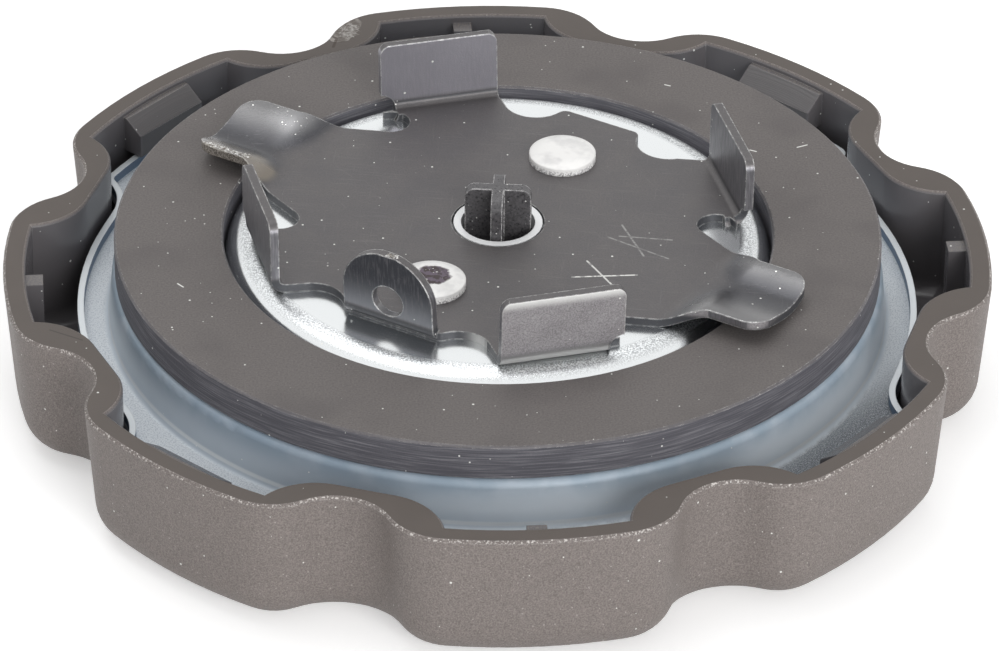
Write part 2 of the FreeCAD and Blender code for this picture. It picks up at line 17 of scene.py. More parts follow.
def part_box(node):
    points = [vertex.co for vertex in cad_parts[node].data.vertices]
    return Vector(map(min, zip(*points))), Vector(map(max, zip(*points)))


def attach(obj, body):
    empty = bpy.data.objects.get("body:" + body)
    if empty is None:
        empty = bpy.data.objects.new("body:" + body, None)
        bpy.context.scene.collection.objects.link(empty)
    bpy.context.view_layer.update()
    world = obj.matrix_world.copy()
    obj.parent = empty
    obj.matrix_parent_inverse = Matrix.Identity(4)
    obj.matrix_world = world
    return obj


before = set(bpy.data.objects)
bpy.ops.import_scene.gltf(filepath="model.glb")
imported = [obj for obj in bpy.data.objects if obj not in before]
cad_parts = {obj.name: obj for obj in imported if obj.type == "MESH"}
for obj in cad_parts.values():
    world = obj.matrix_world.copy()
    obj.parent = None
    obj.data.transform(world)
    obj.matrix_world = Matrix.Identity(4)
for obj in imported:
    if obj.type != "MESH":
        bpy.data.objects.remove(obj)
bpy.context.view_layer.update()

MM = 0.001

# %% [markdown]
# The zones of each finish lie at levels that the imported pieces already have: the rim of the cover, the
# seat under the gasket, the flange in the bottom of the shell, and the face of the spring plate, with
# which the shell's neck ends flush. They could be typed in again, but reading them from the pieces keeps
# every zone in its place.

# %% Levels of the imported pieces
SHELL_SHEET = 0.6 * MM
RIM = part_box("grip_cover")[1].z
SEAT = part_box("gasket")[0].z
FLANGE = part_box("cap_shell")[0].z + SHELL_SHEET
PLATE_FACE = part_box("cap_shell")[1].z
print("rim", RIM, "seat", SEAT, "flange", FLANGE, "plate's face", PLATE_FACE)

# %% [markdown]
# Every finish is a small network of shader nodes. They could be wired one by one, but a finish has
# dozens of them, so a few helpers keep the networks readable: one adds a node and feeds its sockets,
# one does arithmetic, one turns a range of values into another, and one lays colours over each other
# like coats of paint, each through its own mask.

# %% Helpers that write shader nodes
def feed(tree, node, inputs):
    """Feeds a node's sockets, by name or number, with plain values or with other nodes' outputs."""
    for key, value in inputs.items():
        if isinstance(value, bpy.types.NodeSocket):
            tree.links.new(value, node.inputs[key])
        else:
            node.inputs[key].default_value = value


def add(tree, kind, inputs=None, **settings):
    """Adds a shader node with its settings, and feeds its sockets."""
    made = tree.nodes.new("ShaderNode" + kind)
    for name, value in settings.items():
        setattr(made, name, value)
    feed(tree, made, inputs or {})
    return made


def sums(tree, operation, *values, clamp=False):
    """One step of arithmetic on numbers or sockets, as a socket."""
    return add(tree, "Math", dict(enumerate(values)), operation=operation, use_clamp=clamp).outputs[0]


def vectors(tree, operation, *values):
    """One step of arithmetic on places and directions: a number if it measures, otherwise a vector."""
    made = add(tree, "VectorMath", dict(enumerate(values)), operation=operation)
    return made.outputs["Value" if operation in ("DOT_PRODUCT", "LENGTH", "DISTANCE") else "Vector"]


def product(tree, *masks):
    """The product of masks and numbers: 1 only where all of them are."""
    return reduce(lambda so_far, mask: sums(tree, "MULTIPLY", so_far, mask), masks)


def highest(tree, *masks):
    """The highest of several masks: 1 where any of them is."""
    return reduce(lambda so_far, mask: sums(tree, "MAXIMUM", so_far, mask), masks)


def spread(tree, value, low, high, start=0.0, end=1.0, smooth=True):
    """Takes low..high to start..end, flat outside, with a soft S between if smooth."""
    kind = "SMOOTHSTEP" if smooth else "LINEAR"
    sockets = {"Value": value, "From Min": low, "From Max": high, "To Min": start, "To Max": end}
    return add(tree, "MapRange", sockets, interpolation_type=kind).outputs["Result"]


def raised(tree, value, *steps):
    """The value with steps (mask, rise) added to it, one by one: value + mask * rise."""
    for mask, rise in steps:
        value = sums(tree, "MULTIPLY_ADD", mask, rise, value)
    return value


def blend_colours(tree, share, first, second):
    """The colour that is first where share is 0 and second where it is 1."""
    return add(tree, "Mix", {0: share, 6: first, 7: second}, data_type="RGBA").outputs[2]


def coats(tree, skin, *layers):
    """A colour with coats laid over it, each given as (mask, colour)."""
    for mask, coat in layers:
        skin = blend_colours(tree, mask, skin, coat)
    return skin


def colour(*levels):
    """An opaque colour from red, green and blue as they look on a screen, 0 to 255."""
    return tuple((level / 255) ** 2.2 for level in levels) + (1.0,)


# %% [markdown]
# A zone is picked out by where a point lies and by the way its surface faces: its distance from the
# cap's axis, its height, or how far it lies along a direction. All of them are read from the point on
# the piece itself, so that a finish stays on its piece when the piece moves.

# %% Where a point lies and which way it faces
FLAT, UPWARDS = (1.0, 1.0, 0.0), (0, 0, 1)


def place(tree):
    """The point on the piece, in metres."""
    return add(tree, "TexCoord").outputs["Object"]


def stretched(tree, factors):
    """The point with its coordinates times three factors, for noise that is drawn out or flattened."""
    return vectors(tree, "MULTIPLY", place(tree), factors)


def radius_and_height(tree):
    """Distance from the cap's axis and height, in metres."""
    radius = vectors(tree, "LENGTH", stretched(tree, FLAT))
    return radius, add(tree, "SeparateXYZ", {0: place(tree)}).outputs["Z"]


def facing(tree, direction):
    """How far the true normal points along a direction, or outwards from the axis for "out"."""
    normal = add(tree, "NewGeometry").outputs["True Normal"]
    if direction == "out":
        direction = vectors(tree, "NORMALIZE", stretched(tree, FLAT))
    return vectors(tree, "DOT_PRODUCT", normal, direction)


def dot_place(tree, direction):
    """How far the point lies from the middle along a direction, in metres."""
    return vectors(tree, "DOT_PRODUCT", place(tree), direction)


def distance_to(tree, spot_at):
    """Distance from the point to a place given in millimetres, in metres."""
    return vectors(tree, "DISTANCE", place(tree), [measure * MM for measure in spot_at])


# %% [markdown]
# What several finishes share goes into a group, which is built once and placed in each of them. The
# shader itself stays in the material, where its plain values are set.

# %% Helpers that make a group and a material
def new_group(name, inputs, outputs):
    """A shader group with float inputs {name: default} and float outputs."""
    tree = bpy.data.node_groups.new(name, "ShaderNodeTree")
    for socket, default in inputs.items():
        made = tree.interface.new_socket(socket, in_out="INPUT", socket_type="NodeSocketFloat")
        made.default_value = default
    for socket in outputs:
        tree.interface.new_socket(socket, in_out="OUTPUT", socket_type="NodeSocketFloat")
    return tree, tree.nodes.new("NodeGroupInput"), tree.nodes.new("NodeGroupOutput")


def use(tree, group, **inputs):
    """Places a group in a material or in another group, and gives its only output."""
    return add(tree, "Group", inputs, node_tree=group).outputs[0]


def fill(tree, shader, **sockets):
    """Feeds a shader's sockets, whose names are written with underscores."""
    feed(tree, shader, {socket.replace("_", " "): value for socket, value in sockets.items()})


def new_material(name, **sockets):
    """A material with one Principled BSDF, with plain values for its own sockets."""
    made = bpy.data.materials.new(name)
    made.use_nodes = True
    shader = made.node_tree.nodes["Principled BSDF"]
    fill(made.node_tree, shader, **sockets)
    return made, made.node_tree, shader


def dress(node, material):
    """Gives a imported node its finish."""
    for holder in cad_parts[node].material_slots:
        holder.material = material
    print(node, "wears", material.name, "with", len(material.node_tree.nodes), "nodes")


# %% [markdown]
# Handling rubs edges bright and dust settles in specks, and the same masks of edges and specks also
# carry painted highlights and painted glints. Both show on every piece, so each is a group that is built
# once and placed in every finish with its own sizes. Bright edges could be modelled as narrow faces, but a
# shader finds them anywhere: a normal that is rounded off over a small radius differs from the true one
# only along an edge. Dust is a speck in some cells of a Voronoi pattern, and the grain that breaks up all
# the other masks is fractal noise.

# %% Edge wear and painted highlights, dust specks and painted glints, and grain as groups
BEVEL_SAMPLES = 4
SPECK_SOFTNESS = 0.015 * MM


def make_edges():
    """Mask of the edges: it grows with 1 - the dot product of the rounded and the true normal."""
    tree, given, made = new_group("edge_wear_and_highlight", {"Radius": 0.2 * MM, "Start": 0.02, "Full": 0.15}, ["Mask"])
    rounded = add(tree, "Bevel", {"Radius": given.outputs["Radius"]}, samples=BEVEL_SAMPLES).outputs[0]
    true = add(tree, "NewGeometry").outputs["True Normal"]
    turn = sums(tree, "SUBTRACT", 1.0, vectors(tree, "DOT_PRODUCT", rounded, true))
    mask = spread(tree, turn, given.outputs["Start"], given.outputs["Full"])
    tree.links.new(mask, made.inputs["Mask"])
    return tree


def make_specks():
    """Mask of round specks: cells Spacing apart, each with a speck of a random size up to Size."""
    tree, given, made = new_group("specks", {"Spacing": 1.6 * MM, "Size": 0.09 * MM, "Share": 0.3}, ["Mask"])
    scale = sums(tree, "DIVIDE", 1.0, given.outputs["Spacing"])
    cells = add(tree, "TexVoronoi", {"Vector": place(tree), "Scale": scale}, feature="F1")
    far = sums(tree, "MULTIPLY", cells.outputs["Distance"], given.outputs["Spacing"])
    chance = add(tree, "SeparateColor", {0: cells.outputs["Color"]})
    kept = spread(tree, chance.outputs[0], 0.0, given.outputs["Share"], 1.0, 0.0, smooth=False)
    reach = sums(tree, "MULTIPLY", kept, given.outputs["Size"])
    inside = sums(tree, "SUBTRACT", reach, far)
    tree.links.new(spread(tree, inside, 0.0, SPECK_SOFTNESS), made.inputs["Mask"])
    return tree


def make_grain():
    """Value between 0 and 1 that varies over Size, from fractal noise."""
    tree, given, made = new_group("grain", {"Size": 0.3 * MM, "Detail": 3.0, "Contrast": 1.0}, ["Value"])
    scale = sums(tree, "DIVIDE", 1.0, given.outputs["Size"])
    noise = add(tree, "TexNoise", {"Vector": place(tree), "Scale": scale, "Detail": given.outputs["Detail"]})
    centred = sums(tree, "SUBTRACT", noise.outputs[0], 0.5)
    swing = sums(tree, "MULTIPLY_ADD", centred, given.outputs["Contrast"], 0.5, clamp=True)
    tree.links.new(swing, made.inputs["Value"])
    return tree


edge_wear_and_highlight, specks, grain = make_edges(), make_specks(), make_grain()
print("groups", [g.name for g in bpy.data.node_groups])


# %% The three groups by their sizes in millimetres
def worn_and_highlighted_edges(tree, radius, start, full):
    """Edges that are worn and edges that carry painted highlights, over a radius, from the turn at which the
    mask starts to where it is full.
    """
    return use(tree, edge_wear_and_highlight, Radius=radius * MM, Start=start, Full=full)


def dust_and_glint_specks(tree, spacing, size, share):
    """Specks a spacing apart, up to a size, on a share of the cells."""
    return use(tree, specks, Spacing=spacing * MM, Size=size * MM, Share=share)


def grained(tree, size, detail=3.0, contrast=1.0):
    """Noise of a size, with more or less detail and contrast."""
    return use(tree, grain, Size=size * MM, Detail=detail, Contrast=contrast)


# %% [markdown]
# Scratches run straight, so they come from noise that is drawn out along one direction. Single marks,
# such as the crossed scribe lines on the plate, are strokes: a point's distance to a line between two
# places on the part, kept thin. A stain is a spot whose edge is pushed about by noise.

# %% Scratches, strokes and spots
SCRATCH_START, SCRATCH_GAIN, SCRATCH_SOFTNESS = 0.78, -0.3, 0.06
PUSH_SIZE, SPOT_CORE = 0.5, 0.8


def make_scratches():
    """Mask of thin streaks: ridges of noise stretched by Stretch along the direction Turn, in degrees."""
    inputs = {"Turn": 0.0, "Width": 0.15 * MM, "Stretch": 40.0, "Amount": 0.5}
    tree, given, made = new_group("scratches", inputs, ["Mask"])
    angle = add(tree, "CombineXYZ", {"Z": sums(tree, "RADIANS", given.outputs["Turn"])})
    turned = add(tree, "Mapping", {"Vector": place(tree), "Rotation": angle.outputs[0]}, vector_type="POINT")
    fine = sums(tree, "DIVIDE", 1.0, given.outputs["Width"])
    along = sums(tree, "DIVIDE", fine, given.outputs["Stretch"])
    size = add(tree, "CombineXYZ", {"X": along, "Y": fine, "Z": fine})
    drawn = vectors(tree, "MULTIPLY", turned.outputs[0], size.outputs[0])
    noise = add(tree, "TexNoise", {"Vector": drawn, "Scale": 1.0, "Detail": 2.0})
    limit = sums(tree, "MULTIPLY_ADD", given.outputs["Amount"], SCRATCH_GAIN, SCRATCH_START)
    full = sums(tree, "ADD", limit, SCRATCH_SOFTNESS)
    tree.links.new(spread(tree, noise.outputs[0], limit, full), made.inputs["Mask"])
    return tree


def stroke(tree, start, end, width):
    """Mask of one straight mark between two places (x, y) in millimetres, seen from above.

    The distance is that from the point to the nearest place on the line: the point less the start, less
    the line's direction times its clamped share along it.
    """
    (x0, y0), (x1, y1) = start, end
    start_at = (x0 * MM, y0 * MM, 0)
    way = ((x1 - x0) * MM, (y1 - y0) * MM, 0.0)
    away = vectors(tree, "SUBTRACT", stretched(tree, FLAT), start_at)
    along = vectors(tree, "DOT_PRODUCT", away, way)
    share = sums(tree, "DIVIDE", along, way[0] ** 2 + way[1] ** 2, clamp=True)
    reached = add(tree, "VectorMath", {0: way, "Scale": share}, operation="SCALE").outputs[0]
    far = vectors(tree, "LENGTH", vectors(tree, "SUBTRACT", away, reached))
    return spread(tree, far, width * MM / 2, width * MM, 1.0, 0.0)


def strokes(tree, lines, width):
    """Mask of several straight marks, each given as (start, end)."""
    return highest(tree, *[stroke(tree, start, end, width) for start, end in lines])


def spot(tree, centre, size, rough):
    """Mask of a soft-edged spot: distance to centre, millimetres, with its edge pushed about by noise."""
    away = distance_to(tree, centre)
    push = grained(tree, size * PUSH_SIZE)
    reach = sums(tree, "MULTIPLY_ADD", push, 2 * rough * size * MM, size * (1 - rough) * MM)
    inner = sums(tree, "MULTIPLY", reach, SPOT_CORE)
    return spread(tree, away, inner, reach, 1.0, 0.0)


scratches = make_scratches()
print("scratches has", len(scratches.nodes), "nodes")


# %% Rounded edges and fine relief
def rounded_bump(tree, height, strength, depth, radius):
    """Normal of a surface whose edges are rounded off and which height raises by depth."""
    soft = add(tree, "Bevel", {"Radius": radius * MM}, samples=BEVEL_SAMPLES).outputs[0]
    sockets = {"Height": height, "Normal": soft, "Strength": strength, "Distance": depth * MM}
    return add(tree, "Bump", sockets).outputs[0]


# %% [markdown]
# The cover is moulded in a warm dark grey plastic. Its outer wall has a fine grain from the mould with
# painted glints in it, its rim is rubbed smooth and painted a darker brown as shade on its upward face,
# and its inside is glossy, nearly black plastic, painted a lighter grey as light that the deep pocket
# doesn't get. One material could be cut along the edges of these zones, but the cover is one moulding,
# so one finish covers it and masks of height and facing tell its zones apart.

# %% Zones of the cover
BELOW_RIM = (RIM - 0.05 * MM, RIM - 0.2 * MM)
ABOVE_RIB_TOP = (RIM - 1.1 * MM, RIM - 1.0 * MM)
LUG_BEARINGS, LUG_HALF_WIDTH = (45, 135, 225, 315), (0.9945, 0.9955)
LUG_RADIUS = (36.25 * MM, 36.15 * MM)
FACES_UP, NOT_OUTWARD, NOT_DOWNWARD = (0.8, 0.95), (0.3, 0.15), (-0.3, -0.15)
SCORE_SPACING, SCORE_DRIFT, DRIFT_SIZE = 0.14 * MM, 1.5, 5.0


def lug_lines(tree, radius):
    """Scores along the ramps of the snap lugs, and the lugs' mask.

    The mask is 1 near a lug's bearing, where the cosine of the turn from it is close to 1. The scores
    are noise of the radius alone, which drifts a little from place to place.
    """
    near = []
    for bearing in LUG_BEARINGS:
        at = (math.cos(math.radians(bearing)), math.sin(math.radians(bearing)), 0.0)
        cosine = sums(tree, "DIVIDE", dot_place(tree, at), radius)
        near.append(spread(tree, cosine, *LUG_HALF_WIDTH))
    lug = product(tree, highest(tree, *near), spread(tree, radius, *LUG_RADIUS))
    drift = grained(tree, DRIFT_SIZE)
    across = sums(tree, "MULTIPLY_ADD", drift, SCORE_DRIFT, sums(tree, "MULTIPLY", radius, 1 / SCORE_SPACING))
    across = add(tree, "CombineXYZ", {"X": across}).outputs[0]
    scores = add(tree, "TexNoise", {"Vector": across, "Scale": 1.0})
    return product(tree, lug, scores.outputs[0]), lug


def cover_zones(tree, height, outward):
    """Masks of the cover's rim, of its inside walls and of the tops of its ribs."""
    upward = facing(tree, UPWARDS)
    below = spread(tree, height, *BELOW_RIM)
    flat = spread(tree, upward, *FACES_UP)
    flat_below = product(tree, flat, below)
    rim = sums(tree, "SUBTRACT", flat, flat_below)
    inside = product(tree, spread(tree, outward, *NOT_OUTWARD), spread(tree, upward, *NOT_DOWNWARD), below)
    return rim, inside, product(tree, flat_below, spread(tree, height, *ABOVE_RIB_TOP))


print("the rim's zone lies over", BELOW_RIM[1], "m, the lugs at", LUG_BEARINGS, "degrees")


# %% [markdown]
# Use has marked the cover. One corner of the back lobe is chipped down to torn, streaky plastic with a
# crack beside it, and handling has drawn a thin broken pale line along the outer edge of the rim. These
# marks are masks as well: strokes for the chip and the crack, and noise to make them ragged.

# %% Wear and painted edge highlights of the cover
CHIP, CHIP_WIDTH = ((-9.2, 35.6), (-10.2, 33.6)), 1.3
CHIP_CRACKS, CRACK_WIDTH = (((-10.8, 32.0), (-10.45, 33.3)), ((-10.45, 33.3), (-10.8, 33.7))), 0.16
CHIP_STREAK = (1500.0, 500.0, 1500.0)
CHIP_DEPTH = (RIM - 1.2 * MM, RIM - 0.4 * MM)
EDGE_DEPTH = (RIM - 1.0 * MM, RIM - 0.4 * MM)
CHAMFER = (RIM - 0.2 * MM, RIM - 0.16 * MM)
RIM_EDGE, RIM_BREAKS = (0.12, 0.03, 0.16), (0.24, 3.0, 3.0)
CHAMFER_DOTS, RAGGED = (0.17, 2.0, 3.0), (0.8, 3.0, 1.5)
OUTER_SIDE, INNER_SIDE, ON_CHAMFER = (0.1, 0.4), (0.1, -0.1, 0.0, 0.35), (0.3, 0.5)


def cover_wear_and_highlights(tree, height, outward, lug):
    """Mask of the pale edges: worn and broken along the rim's outside, faint painted highlights inside and
    painted highlights on the lugs.
    """
    edges = worn_and_highlighted_edges(tree, *RIM_EDGE)
    broken = spread(tree, grained(tree, *RIM_BREAKS), 0.42, 0.72, 0.1, 0.75)
    outer = product(tree, spread(tree, outward, *OUTER_SIDE), broken)
    inner = spread(tree, outward, *INNER_SIDE)
    # The inner edges of the rim and the edges of the lugs are painted highlights; the outside line and the
    # chamfer's dots are wear.
    rim_edges = product(tree, edges, spread(tree, height, *EDGE_DEPTH))
    lug_edge_highlights = product(tree, edges, product(tree, lug, 0.4))
    dots = spread(tree, grained(tree, *CHAMFER_DOTS), 0.66, 0.88, 0.0, 0.75)
    chamfer = product(tree, spread(tree, height, *CHAMFER), spread(tree, outward, *ON_CHAMFER), dots)
    return highest(tree, product(tree, rim_edges, highest(tree, outer, inner)), lug_edge_highlights, chamfer)


def chipped(tree, height):
    """Masks of the chipped corner and of the cracks that run from it."""
    deep = spread(tree, height, *CHIP_DEPTH)
    chip = sums(tree, "MULTIPLY_ADD", grained(tree, *RAGGED), 0.8, stroke(tree, *CHIP, CHIP_WIDTH))
    chip = product(tree, spread(tree, chip, 0.8, 1.0), deep)
    return chip, product(tree, strokes(tree, CHIP_CRACKS, CRACK_WIDTH), deep)


print("the chip is", round(math.dist(*CHIP), 2), "mm long")


# %% Cover plastic
DUST_AND_GLINT_WHITE = colour(240, 240, 236)
WALL_DARK, WALL_LIGHT, WALL_PAINTED_GLINT = colour(103, 96, 93), colour(140, 132, 128), colour(196, 190, 186)
RIM_SHADED_BROWN, RIM_SHADED_WORN, MOULD_DARK = colour(84, 77, 72), colour(92, 84, 79), colour(58, 52, 48)
INSIDE_GREY_PAINTED_LIGHT, RIB_TOP = colour(106, 103, 105), colour(122, 117, 113)
LUG_DARK, LUG_SCORE, EDGE_WEAR_AND_HIGHLIGHT = colour(70, 68, 68), colour(132, 127, 123), colour(222, 217, 212)
CHIP_DARK, CHIP_PALE, CRACK_BROWN = colour(104, 97, 91), colour(156, 150, 145), colour(58, 44, 34)
MOULD_LINE, MOULD_LINE_WIDTH = ((-34.55, -8.08), (-32.18, -9.6)), 0.1
COVER_GLOSS, FACET_SIZE = 0.55, 0.35 * MM
WALL_GRAIN, WALL_CLOUD = (0.12, 2.0, 2.6), (4.0, 3.0, 1.4)
WALL_GLINTS, COVER_DUST = (0.4, 0.08, 0.5), (0.8, 0.11, 0.35)


def make_cover_plastic():
    """Moulded plastic: grained wall with painted glints, rim in painted shade, inside in painted light,
    scored lugs, chip, worn edges with painted highlights, dust.
    """
    material, tree, shader = new_material("cover_plastic", Specular_IOR_Level=0.4)
    radius, height = radius_and_height(tree)
    outward = facing(tree, "out")
    rim, inside, rib_top = cover_zones(tree, height, outward)
    scores, lug = lug_lines(tree, radius)
    chip, cracks = chipped(tree, height)
    fine, cloud = grained(tree, *WALL_GRAIN), grained(tree, *WALL_CLOUD)
    painted_glints, dust = dust_and_glint_specks(tree, *WALL_GLINTS), dust_and_glint_specks(tree, *COVER_DUST)
    mould_line = product(tree, stroke(tree, *MOULD_LINE, MOULD_LINE_WIDTH), rim)
    torn = add(tree, "TexNoise", {"Vector": stretched(tree, CHIP_STREAK), "Scale": 1.0, "Detail": 4.0})

    # The wall's bright specks are painted glints.
    wall = coats(tree, blend_colours(tree, fine, WALL_DARK, WALL_LIGHT),
                 (product(tree, cloud, 0.2), WALL_DARK),
                 (product(tree, painted_glints, 0.4), WALL_PAINTED_GLINT))
    # The rim's darker brown is painted shade, and the inside's grey is painted light.
    skin = coats(tree, wall,
                 (rim, blend_colours(tree, cloud, RIM_SHADED_BROWN, RIM_SHADED_WORN)),
                 (inside, INSIDE_GREY_PAINTED_LIGHT),
                 (product(tree, lug, 0.5), LUG_DARK),
                 (spread(tree, scores, 0.5, 0.75, 0.0, 0.5), LUG_SCORE),
                 (rib_top, blend_colours(tree, spread(tree, fine, 0.4, 0.7), INSIDE_GREY_PAINTED_LIGHT, RIB_TOP)),
                 (product(tree, mould_line, 0.7), MOULD_DARK),
                 (cover_wear_and_highlights(tree, height, outward, lug), EDGE_WEAR_AND_HIGHLIGHT),
                 (chip, blend_colours(tree, spread(tree, torn.outputs[0], 0.4, 0.62), CHIP_DARK, CHIP_PALE)),
                 (product(tree, cracks, 0.8), CRACK_BROWN),
                 (product(tree, dust, 0.85), DUST_AND_GLINT_WHITE))

    rough = raised(tree, sums(tree, "MULTIPLY_ADD", inside, -0.3, COVER_GLOSS), (rim, -0.12))
    facets = add(tree, "TexVoronoi", {"Vector": place(tree), "Scale": 1 / FACET_SIZE}, feature="F1")
    relief = product(tree, fine, spread(tree, highest(tree, inside, rim), 0, 1, 1, 0.15))
    relief = raised(tree, relief, (product(tree, facets.outputs["Distance"], chip), 6.0), (scores, 1.5))
    normal = rounded_bump(tree, relief, 0.7, 0.03, 0.14)
    fill(tree, shader, Base_Color=skin, Roughness=rough, Normal=normal)
    return material


dress("grip_cover", make_cover_plastic())

# %% [markdown]
# The shell is pressed from sheet steel and zinc plated. Its flat top is bright, and the shoulder round
# it has a fine grain, because the metal was stretched there; the rim of its neck is a painted white
# reflection. Below the gasket the shell is only a little metallic, and its zones carry painted light and
# shade in place of reflections. The wall has a satin blue bloom, with painted shade under the gasket and
# at the front left, and a painted highlight along its foot. The flange in the bottom is a pale painted
# reflection with spots, and its lip has a painted reflection on top, painted highlights on its edges and
# painted shade inside. The ear at the front right is painted dark grey as shade, with painted glints in
# its coarse grain.

# %% Zones of the shell
BELOW_GASKET = (SEAT + 0.3 * MM, SEAT - 0.1 * MM)
ON_FLANGE, BEYOND_WALL = (FLANGE + 0.65 * MM, FLANGE + 0.35 * MM), (30.1 * MM, 30.5 * MM)
ABOVE_FLANGE, ON_LIP = (FLANGE + 0.1 * MM, FLANGE + 0.2 * MM), (31.5 * MM, 31.7 * MM)
SHOULDER_IN, SHOULDER_OUT = (18.4 * MM, 18.9 * MM), (20.3 * MM, 19.3 * MM)
SHOULDER_UP = (11.5 * MM, 12.5 * MM)
NECK_RIM = (3.9 * MM, 3.7 * MM)
WALL_RISE = (FLANGE + 1.35 * MM, SEAT - 0.2 * MM)
FOOT_FROM, FOOT_TO = (FLANGE + 0.25 * MM, FLANGE + 0.4 * MM), (FLANGE + 0.75 * MM, FLANGE + 0.55 * MM)
FOOT_WITHIN = (30.7 * MM, 30.5 * MM)
SHADED_SIDE, SHADED_SIDE_FROM = (-0.62, -0.78, 0.0), (22.0 * MM, 30.0 * MM)
SHADED_EAR, EAR_FROM = (0.731, -0.682, 0.0), (27.6 * MM, 31.8 * MM)


def shell_zones(tree, radius, height):
    """Masks of the shell's low part, flange, lip, stretched shoulder and neck."""
    low = spread(tree, height, *BELOW_GASKET)
    flange = product(tree, spread(tree, height, *ON_FLANGE), spread(tree, radius, *BEYOND_WALL))
    lip = product(tree, spread(tree, height, *ABOVE_FLANGE), spread(tree, radius, *ON_LIP), low)
    band = product(tree, spread(tree, radius, *SHOULDER_IN), spread(tree, radius, *SHOULDER_OUT),
                   spread(tree, height, *SHOULDER_UP))
    return low, flange, lip, band, spread(tree, radius, *NECK_RIM)


# WALL_RISE is the height over which the wall darkens into the painted shade under the gasket.
print("the wall's bloom runs from", WALL_RISE[0], "to", WALL_RISE[1], "m")

# %% Plated steel
ZINC_WHITE_AND_HIGHLIGHT, ZINC_GRAIN, NECK_PAINTED_REFLECTION = colour(236, 239, 240), colour(138, 140, 143), colour(246, 247, 248)
WALL_SHADE_UNDER_GASKET, WALL_LOW, WALL_PAINTED_SHADE = colour(152, 168, 182), colour(222, 231, 238), colour(124, 140, 158)
BLOOM, FLANGE_PAINTED_REFLECTION, FLANGE_SPOT = colour(213, 220, 227), colour(220, 225, 229), colour(158, 167, 178)
LIP_PAINTED_REFLECTION, LIP_PAINTED_SHADE = colour(222, 227, 230), colour(106, 122, 142)
EAR_PAINTED_SHADE, EAR_PAINTED_GLINT = colour(78, 82, 88), colour(212, 216, 220)
MOTTLE, PATCHES, CRYSTALS = (0.12, 3.0, 2.2), (2.6, 3.0, 2.0), (0.09, 2.0, 2.4)
LIP_EDGE, LIP_FACES_UP, STEEL_DUST = (0.13, 0.03, 0.14), (0.5, 0.8), (0.8, 0.09, 0.3)


def wall_colour(tree, radius, height, patch):
    """Blue bloom of the wall with painted shade under the gasket and at the front left, and the mask of its
    painted highlight along the foot.
    """
    # The foot is a painted highlight along the bottom of the wall.
    foot = product(tree, spread(tree, height, *FOOT_FROM), spread(tree, height, *FOOT_TO),
                   spread(tree, radius, *FOOT_WITHIN, 0.0, 0.8))
    wall = coats(tree, blend_colours(tree, spread(tree, height, *WALL_RISE), WALL_LOW, WALL_SHADE_UNDER_GASKET),
                 (spread(tree, patch, 0.3, 0.9, 0.0, 0.35), BLOOM),
                 (spread(tree, dot_place(tree, SHADED_SIDE), *SHADED_SIDE_FROM, 0.0, 0.4), WALL_PAINTED_SHADE))
    return wall, foot


def flange_colour(tree, mottle):
    """Flange with a pale painted reflection and spots, and the ear painted dark as shade, with painted glints
    in its coarse grain.
    """
    crystals = grained(tree, *CRYSTALS)
    spotted = blend_colours(tree, spread(tree, mottle, 0.4, 0.8, 0.0, 0.6), FLANGE_PAINTED_REFLECTION, FLANGE_SPOT)
    ear_glints = blend_colours(tree, spread(tree, crystals, 0.4, 0.95, 0.0, 0.75), EAR_PAINTED_SHADE, EAR_PAINTED_GLINT)
    # The ear at the front right is painted dark grey as shade.
    ear = spread(tree, dot_place(tree, SHADED_EAR), *EAR_FROM, 0.0, 0.9)
    return blend_colours(tree, ear, spotted, ear_glints)


def make_plated_steel():
    """Zinc plate: bright grained top above the gasket, bloomed wall, flange and lip below it in painted light
    and shade.
    """
    material, tree, shader = new_material("plated_steel")
    radius, height = radius_and_height(tree)
    low, flange, lip, band, neck = shell_zones(tree, radius, height)
    mottle, patch = grained(tree, *MOTTLE), grained(tree, *PATCHES)
    wall, foot = wall_colour(tree, radius, height, patch)

    grains = product(tree, band, spread(tree, mottle, 0.25, 0.75, 0.05, 0.8))
    # The neck's rim is only a little metallic, and its white is a painted reflection.
    top = coats(tree, blend_colours(tree, grains, ZINC_WHITE_AND_HIGHLIGHT, ZINC_GRAIN), (neck, NECK_PAINTED_REFLECTION))
    # The lip's top is a painted reflection, its inside painted shade, and its edges painted highlights.
    lip_top = spread(tree, facing(tree, UPWARDS), *LIP_FACES_UP)
    lip_painted_light = coats(tree, blend_colours(tree, lip_top, LIP_PAINTED_SHADE, LIP_PAINTED_REFLECTION),
                     (worn_and_highlighted_edges(tree, *LIP_EDGE), ZINC_WHITE_AND_HIGHLIGHT))
    wall = coats(tree, wall, (flange, flange_colour(tree, mottle)), (foot, ZINC_WHITE_AND_HIGHLIGHT), (lip, lip_painted_light))
    skin = coats(tree, top, (low, wall), (dust_and_glint_specks(tree, *STEEL_DUST), DUST_AND_GLINT_WHITE))

    # Below the gasket the shell is only a little metallic, so its painted colours stand in for reflections.
    metal = sums(tree, "MULTIPLY_ADD", low, -0.88, 1.0)
    metal = sums(tree, "MULTIPLY_ADD", neck, -0.85, metal, clamp=True)
    metal = raised(tree, metal, (lip, 0.4))
    rough = sums(tree, "MULTIPLY_ADD", low, 0.32, 0.16)
    rough = raised(tree, rough, (neck, 0.2), (band, 0.16), (patch, 0.06))
    relief = product(tree, mottle, spread(tree, highest(tree, band, flange), 0, 1, 0.1, 1.0))
    normal = rounded_bump(tree, relief, 0.4, 0.02, 0.1)
    fill(tree, shader, Base_Color=skin, Metallic=metal, Roughness=rough, Normal=normal)
    return material


dress("cap_shell", make_plated_steel())

# %% [markdown]
# The gasket is matt rubber, cut from a tube: turning has left fine rings on its sides, and its edges
# are rubbed light. The rings could be a wave of the height, but real ones are uneven and broken, so
# they are noise of the height that drifts slowly on the way round.

